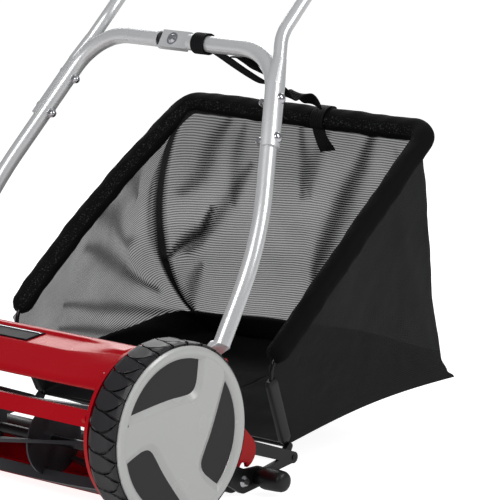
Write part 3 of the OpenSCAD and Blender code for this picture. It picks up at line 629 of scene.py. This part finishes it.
def deck_point(u, v):
    x = (2 * u - 1) * DECK_X
    place = v * (len(deck_mid) - 1)
    index = min(len(deck_mid) - 2, int(place))
    front = ease((abs(x) - FRONT_CREASE[0]) / FRONT_CREASE[1])
    top = min(1.0, max(0.0, (abs(x) - TOP_CREASE[0]) / TOP_CREASE[1]))
    share = [front if i < FRONT_POINTS else top for i in range(len(deck_mid))]
    section = [mix(a, b, s) for a, b, s in zip(deck_mid, deck_end, share)]
    return (x, *mix(section[index], section[index + 1], place - index))


bm = bent_sheet(deck_point, 150, (len(deck_mid) - 1) * STEPS_PER_EDGE, (0.45, 0.12))
if any(face.normal.z < 0 and face.calc_center_median().y < 0 for face in bm.faces):
    bmesh.ops.reverse_faces(bm, faces=bm.faces)
deck = add_piece("deck_shell", bm, "red_paint", "mower", 60, ["deck_cover"])
solid(deck, DECK_SHEET, offset=-1.0)

# %% Tabs that close the deck's ends
# Each tab joins a round place for its screw to a point of the deck's edge.
TAB, SCREW_R = 5.0, 8.0
ACROSS = Matrix.Rotation(math.pi / 2, 4, "Y")
tabs = []
for screw, tip, tip_r in [((-53.1, 166.1), (-57.2, 170.2), 6.5), ((-10.1, 187.4), (-7.8, 192.0), 4.0)]:
    for start in (-DECK_X, DECK_X - TAB):
        bm = bmesh.new()
        for centre, radius in ((screw, SCREW_R), (tip, tip_r)):
            place = Matrix.Translation(Vector((0, *centre)) * MM) @ ACROSS
            bmesh.ops.create_circle(bm, cap_ends=False, radius=radius * MM, segments=28, matrix=place)
        bmesh.ops.convex_hull(bm, input=bm.verts)
        bmesh.ops.dissolve_limit(bm, angle_limit=0.01, verts=bm.verts, edges=bm.edges)
        top = bmesh.ops.extrude_face_region(bm, geom=bm.faces[:])["geom"]
        raised = [part for part in top if isinstance(part, bmesh.types.BMVert)]
        bmesh.ops.translate(bm, vec=(TAB * MM, 0, 0), verts=raised)
        bmesh.ops.translate(bm, vec=(start * MM, 0, 0), verts=bm.verts)
        bmesh.ops.recalc_face_normals(bm, faces=bm.faces)
        tabs.append(bm)
add_piece("deck_tabs", merged(tabs), "red_paint", "mower")

# %% [markdown]
# The inset is a dark strip with slanted ends, and a thin bright line near its upper edge.

# %% Deck inset
INSET_FRONT, INSET_BACK = (-40.2, 189.5), (-17.2, 195.1)
INSET_HALF, INSET_SLANT = 78.0, 7.0
TRIM_FRONT, TRIM_BACK, TRIM_HALF, TRIM_CROWN = (-21.8, 194.75), (-19.6, 195.3), 83.0, 0.35


def inset_point(u, v):
    half = INSET_HALF + INSET_SLANT * v
    return (2 * half * u - half, *mix(INSET_FRONT, INSET_BACK, v))


def trim_point(u, v):
    y, z = mix(TRIM_FRONT, TRIM_BACK, v)
    return (2 * u - 1) * TRIM_HALF, y, z + TRIM_CROWN * math.sin(math.pi * v)


bm = bent_sheet(inset_point, 40, 10, (0.17, 0.024))
inset = add_piece("deck_label", bm, "label", "mower", stands_for=["deck_inset"])
solid(inset, 0.9)
bm = bent_sheet(trim_point, 30, 4, (0.16, 0.002))
trim = add_piece("deck_trim", bm, "bright_steel", "mower")
solid(trim, 0.5)

# %% [markdown]
# ## Catcher
# The bag hangs from a wire frame. Its net is one sheet that runs up one side, across the back and
# down the other side. The near side hangs taut, with its bottom corner drawn out to a point. The far
# side is slack, so its upright seam sags toward the mower, and creases run out from it. The
# function below gives the place of any point of that wall: t runs round it, v up it.

# %% Shape of the bag
# Corners are (y, z) in mm. SIDE and CORNER are the shares of t that a side and an upright corner take.
(_, _, bag_floor), (HALF, bag_end, _) = node_box("catcher_mesh")
RIM_LOW, RIM_TOP, BAG_BACK, BAG_FRONT = (213.0, 138.0), (516.0, 380.0), (bag_end, 68.0), (256.0, bag_floor)
SIDE, CORNER = 0.30, 0.06
NARROWER, SPLAY = 4, 10  # what half the width loses at the top of the rim, and gains in front of it
FAR_SAG, BACK_BULGE, FLOOR_SAG = 100, 10, 9
BEND_R = 8  # the radius of an upright corner at the floor. It opens out above
NEAR_PULL = [(0, 0), (0.03, 12), (0.09, 21), (0.33, 23), (0.6, 16), (0.85, 9), (1, 0)]


def along_table(table, x):
    """A smooth line through (place, value) pairs."""
    for (a, p), (b, q) in zip(table, table[1:]):
        if x <= b:
            return p + (q - p) * ease((x - a) / (b - a))
    return table[-1][1]


def bag_point(t, v):
    near, place = t < 0.5, min(t, 1 - t)
    sign = 1 if near else -1
    hang = math.sin(math.pi * v)
    near_pull = along_table(NEAR_PULL, v)
    far_pull = FAR_SAG * hang ** 0.8 if v > 0 else 0
    half = HALF - NARROWER * v
    opening = 4 * ease(v * 2) + 16 * ease(v * 5 - 4) if near else 20 * ease(v * 2) + 40 * hang
    radius = BEND_R + opening
    start, end = mix(BAG_FRONT, RIM_LOW, v), mix(BAG_BACK, RIM_TOP, v)
    side_end, back_end = 1 - radius / math.dist(start, end), 1 - radius / half

    def side_at(s):
        y, z = mix(start, end, s)
        z += FLOOR_SAG * math.sin(math.pi * s) * (1 - v) ** 3
        y -= near_pull * s ** 2.2 if near else far_pull * s ** 1.6
        return sign * (HALF + v * (SPLAY - (SPLAY + NARROWER) * s)), y, z

    def back_at(w):
        y, z = end
        pull = near_pull * ease((w + 0.2) / 1.2) + far_pull * ease((0.35 - w) / 1.35) ** 1.3
        return half * w, y - (pull - BACK_BULGE * hang * (1 - w * w)), z

    if place <= SIDE:
        return side_at(side_end * place / SIDE)
    if place >= SIDE + CORNER:
        return back_at(back_end * (0.5 - t) / (0.5 - SIDE - CORNER))
    k = (place - SIDE) / CORNER
    a, b, c = side_at(side_end), back_at(sign * back_end), side_at(1)
    return mix(mix(a, c, k), mix(c, b, k), k)


# Creases as (places along it, width, height in mm, how much it closes the net: doubled cloth and painted
# shade)
CREASES = [
    ([(0.600, 0.95), (0.618, 0.86), (0.632, 0.74), (0.650, 0.66)], 0.022, 7, 0.10),
    ([(0.622, 0.60), (0.634, 0.52), (0.648, 0.46), (0.662, 0.40)], 0.010, -9, 0.22),
    ([(0.573, 0.78), (0.592, 0.68), (0.614, 0.58), (0.650, 0.40)], 0.016, 7, 0.10),
    ([(0.408, 0.97), (0.430, 0.84), (0.453, 0.72), (0.480, 0.55), (0.505, 0.36), (0.512, 0.22)],
     0.022, -8, 0.16),
    ([(0.470, 0.96), (0.492, 0.84), (0.508, 0.66)], 0.014, 5, 0.07),
    ([(0.505, 0.97), (0.505, 0.80), (0.515, 0.66)], 0.014, -5, 0.10),
    ([(0.577, 0.93), (0.588, 0.80), (0.597, 0.62)], 0.018, -6, 0.08),
    ([(0.860, 0.86), (0.800, 0.66), (0.740, 0.46), (0.695, 0.27)], 0.026, -9, 0.12),
    ([(0.840, 0.97), (0.800, 0.86), (0.750, 0.72), (0.696, 0.52)], 0.026, 8, 0.10),
    ([(0.790, 0.98), (0.745, 0.88), (0.705, 0.74)], 0.020, -6, 0.09),
    ([(0.668, 0.88), (0.676, 0.70), (0.674, 0.50), (0.664, 0.30), (0.660, 0.10)], 0.010, -6, 0.10),
    ([(0.640, 0.34), (0.650, 0.22), (0.664, 0.10)], 0.014, 6, 0.10),
    ([(0.900, 0.60), (0.820, 0.36), (0.740, 0.18), (0.690, 0.10)], 0.022, 7, 0.10),
    ([(0.930, 0.50), (0.840, 0.20), (0.760, 0.08)], 0.022, -6, 0.12),
    ([(0.10, 0.95), (0.19, 0.60), (0.27, 0.10)], 0.030, 3, 0.0),
    ([(0.05, 0.70), (0.16, 0.30), (0.26, 0.04)], 0.030, -3, 0.0),
    ([(0.24, 0.95), (0.26, 0.50), (0.29, 0.06)], 0.022, 3, 0.0),
    ([(0.385, 0.90), (0.395, 0.50), (0.400, 0.15)], 0.018, 3, 0.05),
]


ASPECT = 0.22  # the wall's height as a share of its run, so that a gap means the same in t and in v
END_SHARE, FADED, RIDGE_FALL, DOUBLING_AND_SHADE_FALL = 0.35, 2.5, 1.6, 5
RIPPLES = [(1.6, 26, 7, 0.0), (0.8, 60, 16, 3.0)]  # height in mm, waves along t and v, place in the noise
NUDGE, EDGE_FADE = 0.002, 12


def crease_at(t, v):
    """How far the net stands off its plain shape at a place on the wall, and how closed it is there (doubled
    cloth, painted shade).
    """
    height = doubled_and_shade = 0.0
    for line, width, lift, extra in CREASES:
        best = math.inf
        for index, ((t0, v0), (t1, v1)) in enumerate(zip(line, line[1:])):
            dt, dv = t1 - t0, (v1 - v0) * ASPECT
            share = min(1.0, max(0.0, ((t - t0) * dt + (v - v0) * ASPECT * dv) / (dt * dt + dv * dv)))
            gap = math.hypot(t - t0 - share * dt, (v - v0) * ASPECT - share * dv)
            along = min(0.95, max(0.05, (index + share) / (len(line) - 1)))
            reach = width * (END_SHARE + (1 - END_SHARE) * math.sin(math.pi * along))
            best = min(best, gap / reach)
        if best < FADED:
            height += lift * math.exp(-best * best * RIDGE_FALL)
            # how much the crease closes the net: doubled cloth, and painted shade in the crease
            doubled_and_shade += extra * math.exp(-best * best * DOUBLING_AND_SHADE_FALL)
    return height, doubled_and_shade


def wall_point(t, v, out=0.0):
    """The place on the wall with its creases, out mm off it."""
    along = Vector(bag_point(min(1, t + NUDGE), v)) - Vector(bag_point(max(0, t - NUDGE), v))
    upward = Vector(bag_point(t, min(1, v + NUDGE))) - Vector(bag_point(t, max(0, v - NUDGE)))
    normal = along.cross(upward)
    if normal.length > 0:
        normal.normalize()
    edge = math.sin(math.pi * min(1, max(0, v))) ** 0.5 * min(1.0, t * EDGE_FADE, (1 - t) * EDGE_FADE)
    ripple = sum(size * noise.noise(Vector((t * a, v * b, c))) for size, a, b, c in RIPPLES)
    return Vector(bag_point(t, v)) + normal * ((crease_at(t, v)[0] + ripple) * edge + out)


# %% Net
NET_COLUMNS, NET_ROWS = 300, 110
SEAMS = [(0.667, 0.0045), (0.331, 0.004)]  # (t, half width) of the two upright seams
# The near wall, up to the first of these numbers, is closed more than the rest of the net, which darkens it:
# painted shade
NEAR_SHADE_TO, NEAR_SHADE, SEAM, BOTTOM, BOTTOM_BAND = 0.345, 0.17, 0.5, 0.4, 0.05
bm = bent_sheet(wall_point, NET_COLUMNS, NET_ROWS, (1.14, 0.30))
net_piece = add_piece("catcher_net", bm, "mesh_cloth", "catcher", 180, ["catcher_mesh"])
cover_and_shade = net_piece.data.attributes.new("cover_and_shade", "FLOAT", "POINT")
values = []
for row in range(NET_ROWS + 1):
    for column in range(NET_COLUMNS + 1):
        t, v = column / NET_COLUMNS, row / NET_ROWS
        seam = min(1.0, sum(max(0.0, 1 - abs(t - place) / half) for place, half in SEAMS))
        # painted shade: the near wall is drawn denser, and so darker, than the other walls
        near_shade = NEAR_SHADE * ease((NEAR_SHADE_TO - t) * 60)
        bottom = BOTTOM * ease((BOTTOM_BAND - v) / BOTTOM_BAND)
        values.append(min(1.0, crease_at(t, v)[1] + near_shade + SEAM * seam + bottom))
cover_and_shade.data.foreach_set("value", values)

# %% Floor cloth, a tray whose sides stand up inside the net
UPTURN, NET_GAP = 0.16, 1.6  # share of the cloth that stands up, and how far it stays inside the net
UPTURN_LOW, UPTURN_MORE = 0.12, 0.16  # how high it reaches on the back, and what it gains toward the front
SPINE_BACK = 455.0
FLOOR_SLOPE = (BAG_BACK[1] - BAG_FRONT[1], BAG_BACK[0] - BAG_FRONT[0])


def floor_point(t, w):
    v_top = UPTURN_LOW + UPTURN_MORE * (1 - min(1.0, min(t, 1 - t) / SIDE))
    if w < UPTURN:
        down = 1 - w / UPTURN
        return wall_point(t, v_top * down, -NET_GAP) + Vector((0, 0, 1.2 * math.sin(46 * t) * down))
    rim = Vector(bag_point(t, 0)) + Vector((0, -2.0 if SIDE < t < 1 - SIDE else 0, 1.0))
    y = min(rim.y, SPINE_BACK)
    spine = Vector((0, y, BAG_FRONT[1] + FLOOR_SLOPE[0] * (y - BAG_FRONT[0]) / FLOOR_SLOPE[1]))
    k = (w - UPTURN) / (1 - UPTURN)
    rim.x -= math.copysign(min(2.0, abs(rim.x)), rim.x)
    p = rim.lerp(spine, k)
    p.z -= 5 * math.sin(math.pi * k)
    rumple = noise.noise(Vector((p.x * 0.006, p.y * 0.03, 1.7)))
    p.z += 3.5 * ease(k * 4) * rumple * min(1.0, (p.y - 250) / 40)
    return p


bm = bent_sheet(floor_point, 220, 44, (1.05, 0.26))
floor_piece = add_piece("catcher_tray", bm, "floor_cloth", "catcher", 180, ["catcher_floor"])
solid(floor_piece, 1.2)

# %% [markdown]
# The hem is a soft tube round the wire. Its legs bow out a little, and its section is wider than it
# is deep. Its UV's second number is the turn round the section, which the fleece band is placed by.

# %% Hem
INWARD, OUTWARD = Vector((0, -0.781, -0.624)), Vector((0, -0.624, 0.781))  # in the rim's plane, and off it
HEM_X_LOW, HEM_X_TOP, HEM_START, HEM_BEND = 216, 202, 12, 28.0
LEG_STEPS, BEND_STEPS, TOP_STEPS = 60, 16, 40
BOW_OUT, BOW_UP = 5, 6
HEM_WIDE, HEM_DEEP, HEM_SQUARE, HEM_END, FLEECE_SUNK = 14.6, 11.6, 0.86, 0.008, 0.9


def squared(value, power):
    """Pushes a sine or cosine outward, so that a round section becomes a rounded square."""
    return math.copysign(abs(value) ** power, value)


def sweep(path, frames, section, steps_round):
    """Carries section(along, turn) -> (side, up) along a path. frames are its (side, up) pairs of vectors."""
    bm = bmesh.new()
    cloth = bm.loops.layers.uv.new("cloth")
    rings, run = [], [0.0]
    for a, b in zip(path, path[1:]):
        run.append(run[-1] + (b - a).length * MM)
    for index, (centre, (side, up)) in enumerate(zip(path, frames)):
        along = run[index] / run[-1]
        ring = []
        for step in range(steps_round):
            s, u = section(along, step / steps_round)
            ring.append(bm.verts.new((centre + side * s + up * u) * MM))
        rings.append(ring)
    for index, (a, b) in enumerate(zip(rings, rings[1:])):
        for step in range(steps_round):
            following = (step + 1) % steps_round
            face = bm.faces.new((a[step], a[following], b[following], b[step]))
            corners = ((index, step), (index, step + 1), (index + 1, step + 1), (index + 1, step))
            for loop, (place, turn) in zip(face.loops, corners):
                loop[cloth].uv = (run[place], turn / steps_round)
    for ring in (rings[0], rings[-1]):
        bm.faces.new(ring)
    bmesh.ops.recalc_face_normals(bm, faces=bm.faces)
    return bm


def hem_line():
    """Centres of the hem from its near end to its far end."""
    low, top = Vector((HEM_X_LOW, *RIM_LOW)), Vector((HEM_X_TOP, *RIM_TOP))
    start = low + (top - low).normalized() * HEM_START
    leg, cross = (top - start).normalized(), Vector((-1, 0, 0))
    cut = HEM_BEND * math.tan(math.acos(leg.dot(cross)) / 2)
    before, after = top - leg * cut, top + cross * cut
    points = [start.lerp(before, i / LEG_STEPS) for i in range(LEG_STEPS)]
    for i in range(BEND_STEPS + 1):
        k = i / BEND_STEPS
        points.append(before.lerp(top, k).lerp(top.lerp(after, k), k))
    middle = Vector((0, after.y, after.z))
    points += [after.lerp(middle, (i + 1) / TOP_STEPS) for i in range(TOP_STEPS)]
    return points + [Vector((-p.x, p.y, p.z)) for p in reversed(points[:-1])]


def hem_section(along, turn):
    angle = 2 * math.pi * turn
    end = min(1.0, min(along, 1 - along) / HEM_END)
    # The padding is never even, and swells or sinks by up to a millimetre
    soft = 0.5 * math.sin(along * 190) * math.sin(angle * 3 + along * 40) + 0.4 * math.sin(along * 71 + angle)
    sunk = FLEECE_SUNK * ease((FLEECE_HALF - abs(turn - FLEECE_MID)) * 60) if turn < 0.5 else 0.0
    size = (1 - sunk / 13) * (0.55 + 0.45 * ease(end))
    return (squared(math.cos(angle), HEM_SQUARE) * (HEM_WIDE + soft) * size,
            squared(math.sin(angle), HEM_SQUARE) * (HEM_DEEP + soft) * size)


centres = hem_line()
frames, path = [], []
for index, centre in enumerate(centres):
    ahead = (centres[min(index + 1, len(centres) - 1)] - centres[max(index - 1, 0)]).normalized()
    frames.append((OUTWARD.cross(ahead).normalized(), OUTWARD))
    leg_place = min(index, len(centres) - 1 - index) / LEG_STEPS
    bow = math.sin(math.pi * leg_place) ** 0.8 if leg_place < 1 else 0.0
    path.append(centre + Vector((math.copysign(BOW_OUT * bow, centre.x), 0, 0)) + OUTWARD * BOW_UP * bow)
bm = sweep(path, frames, hem_section, 60)
add_piece("catcher_binding", bm, "hem_cloth", "catcher", 60, ["catcher_hem"])

# %% [markdown]
# The clip strips are sleeves round the wire's front uprights. The wire, its lugs and the reel shaft are given
# a dark, glossy metal.

# %% Sleeves on the frame wire
SLEEVE_X_LOW, SLEEVE_X_HIGH, SLEEVE_FROM, SLEEVE_SHARE, SLEEVE_STEPS = 205.6, 215.4, 0.05, 0.79, 24
SLEEVE_THICK, SLEEVE_WIDE = 4.7, 8.2
hard("black_wire", srgb(40, 40, 42), 0.18, metal=0.7, tone=0.05, relief=0.04)
for name in ("catcher_frame", "catcher_lugs", "reel_shaft"):
    frame["nodes"][name].data.materials[0] = FINISH["black_wire"]


def sleeve_section(along, turn):
    angle = 2 * math.pi * turn
    size = 0.7 + 0.3 * ease(min(along, 1 - along) / 0.05)
    thick, wide = squared(math.cos(angle), 0.6) * SLEEVE_THICK, squared(math.sin(angle), 0.5) * SLEEVE_WIDE
    return thick * size, wide * size


sleeves = []
for side in (-1, 1):
    low, high = Vector((side * SLEEVE_X_LOW, *BAG_FRONT)), Vector((side * SLEEVE_X_HIGH, *RIM_LOW))
    line = [low.lerp(high, SLEEVE_FROM + SLEEVE_SHARE * i / SLEEVE_STEPS) for i in range(SLEEVE_STEPS + 1)]
    ahead = (high - low).normalized()
    out = Vector((side, 0, 0))
    out = (out - ahead * out.dot(ahead)).normalized()
    sleeves.append(sweep(line, [(out, ahead.cross(out))] * len(line), sleeve_section, 32))
add_piece("catcher_sleeves", merged(sleeves), "black_plastic", "catcher", 50, ["clip_strips"])

# %% [markdown]
# ## Strap
# A webbing strap loops round the crossbar, runs down to the catcher's rim with its slack crumpled near
# the end, and a second piece goes over the hem and hangs inside as a short tail.

# %% Webbing
strap_near, strap_far = [corner[0] for corner in node_box("strap_loop")]
STRAP, STRAP_X = strap_far - strap_near, (strap_near + strap_far) / 2
BAR_Y, BAR_Z, LOOP_R = 301.9, 492.2, 12.2
FINE_STEPS, STEPS_ACROSS = 24, 12


def smooth_line(points, steps):
    """A smooth run through the points, as Vectors evenly spaced along it, and its length."""
    points = [Vector(p) for p in points]
    ends = [points[0] * 2 - points[1]] + points + [points[-1] * 2 - points[-2]]
    fine = []
    for p, q, r, s in zip(ends, ends[1:], ends[2:], ends[3:]):
        bend, swing = 2 * p - 5 * q + 4 * r - s, 3 * q - p - 3 * r + s
        for i in range(FINE_STEPS):
            t = i / FINE_STEPS
            fine.append(0.5 * (2 * q + (r - p) * t + bend * t * t + swing * t ** 3))
    fine.append(points[-1])
    run = [0.0]
    for a, b in zip(fine, fine[1:]):
        run.append(run[-1] + (b - a).length)
    line, index = [], 0
    for i in range(steps + 1):
        want = run[-1] * i / steps
        while index < len(run) - 2 and run[index + 1] < want:
            index += 1
        share = (want - run[index]) / max(1e-9, run[index + 1] - run[index])
        line.append(fine[index].lerp(fine[index + 1], share))
    return line, run[-1]


def webbing(points, steps, width, twist, slide):
    """A flat strip through (y, z) points, twisted by twist(s) radians and moved sideways by slide(s) mm."""
    line, length = smooth_line([(0, y, z) for y, z in points], steps)

    def point(u, v):
        place = u * steps
        i = min(steps - 1, int(place))
        here = line[i].lerp(line[i + 1], place - i) + Vector((STRAP_X + slide(u), 0, 0))
        ahead = (line[min(steps, i + 2)] - line[max(0, i - 1)]).normalized()
        up = Vector((1, 0, 0)).cross(ahead)
        across = Vector((1, 0, 0)) * math.cos(twist(u)) + up * math.sin(twist(u))
        return here + across * (v - 0.5) * width

    return bent_sheet(point, steps, STEPS_ACROSS, (length * MM, width * MM)), length


# %% Strap from the crossbar to the rim
loop = []
for degrees in range(-20, 351, 14):
    angle = math.radians(degrees)
    loop.append((BAR_Y + LOOP_R * math.cos(angle), BAR_Z + LOOP_R * math.sin(angle)))
run = [(316.0, 485.8), (322, 481.5), (340, 471.5), (366, 456.5), (390, 443.5), (409, 434.5), (424, 431),
       (436, 426), (446, 415.5), (456, 413), (468, 416), (480, 412), (493, 403.5), (503, 396.5)]
SLACK_FROM = 0.70  # from here on the strap is slack, and twists to and fro


def crumple(u):
    return 0.5 * ease((u - SLACK_FROM) * 8) * math.sin((u - SLACK_FROM) * 34) if u > SLACK_FROM else 0.0


bm, length = webbing(loop + run, 260, STRAP, crumple, lambda u: 3.0 * ease((u - 0.8) * 6))
strap_piece = add_piece("strap_web", bm, "webbing", "strap", 60, ["strap_loop", "strap_band"])
solid(strap_piece, 1.8)
tail = [(357, 470.5), (366, 471.5), (380, 464), (394, 452), (405, 446.5)]
bm, _ = webbing(tail, 60, 19.0, lambda u: 0.25 * math.sin(u * 5), lambda u: 1.5)
tail_piece = add_piece("strap_tail", bm, "webbing", "strap", 60)
solid(tail_piece, 1.6)

# %% Strap end over the hem
OVER_WIDE, OVER_DEEP = 17.0, 13.9
over = []
for degrees in range(172, -9, -12):
    angle = math.radians(degrees)
    p = Vector((0, *RIM_TOP)) + INWARD * OVER_WIDE * math.cos(angle) + OUTWARD * OVER_DEEP * math.sin(angle)
    over.append((p.y, p.z))
hanging = [(503.5, 360), (505, 350), (509, 341)]
bm, end_length = webbing(over + hanging, 120, STRAP, lambda u: 0.35 * ease((u - 0.7) * 3.3),
                         lambda u: 4 + 12 * ease((u - 0.55) * 2.2))
end_piece = add_piece("strap_end", bm, "webbing", "catcher", 60, ["strap_patch"])
solid(end_piece, 1.8)

# %% [markdown]
# ## Bolt heads, cap nuts and grips
# Each handle bolt has a domed head outside, a shank through both tubes and a cap nut inside.

# %% Handle bolts
BOLT_WAY = (0.9426, 0.1689, 0.2879)  # square to the lower handle's side
HEADS = [(199.6, 249.2, 402.4), (182.6, 273.5, 443.8)]
dome = [(-2.7, 0), (-2.7, 6.5), (-1.6, 6.7), (-0.9, 6.6), (0.5, 5.7), (1.7, 4.3), (2.5, 2.4), (2.8, 0)]
shank = [(-30.5, 0), (-30.5, 2.9), (-2.0, 2.9), (-2.0, 0)]
hexagon = [(-29.0, 0), (-29.0, 5.4), (-28.5, 6.0), (-25.3, 6.0), (-24.8, 5.4), (-24.8, 0)]
cap = [(-32.6, 0), (-32.4, 1.6), (-31.4, 3.6), (-29.8, 4.6), (-28.4, 4.8), (-28.4, 0)]
bolts, nuts = [], []
for centre in HEADS:
    for group, profile, steps in ((bolts, dome, 40), (bolts, shank, 20), (nuts, hexagon, 6), (nuts, cap, 32)):
        piece = spun(profile, centre, BOLT_WAY, steps)
        group += [mirrored(piece), piece]
add_piece("bolt_domes", merged(bolts), "bright_steel", "handle", 35, ["handle_bolts"])
add_piece("cap_nuts", merged(nuts), "bright_steel", "handle", 35, ["handle_nuts"])

# %% Height grips
GRIP_X = 235.3
low, high = node_box("height_grips")
grip = [(0, 0), (0, 8.6), (1.2, 9.6), (6, 9.9), (7.2, 11.6), (9.4, 12.9), (13, 13.4), (30, 12.8),
        (36.5, 12.3), (39.4, 11.0), (41.2, 8.4), (41.9, 4.5), (42, 0)]
left_grip = spun(grip, (GRIP_X, (low[1] + high[1]) / 2, (low[2] + high[2]) / 2), steps=64)
grips = merged([mirrored(left_grip), left_grip])
add_piece("height_knobs", grips, "black_plastic", "roller_unit", 40, ["height_grips"])
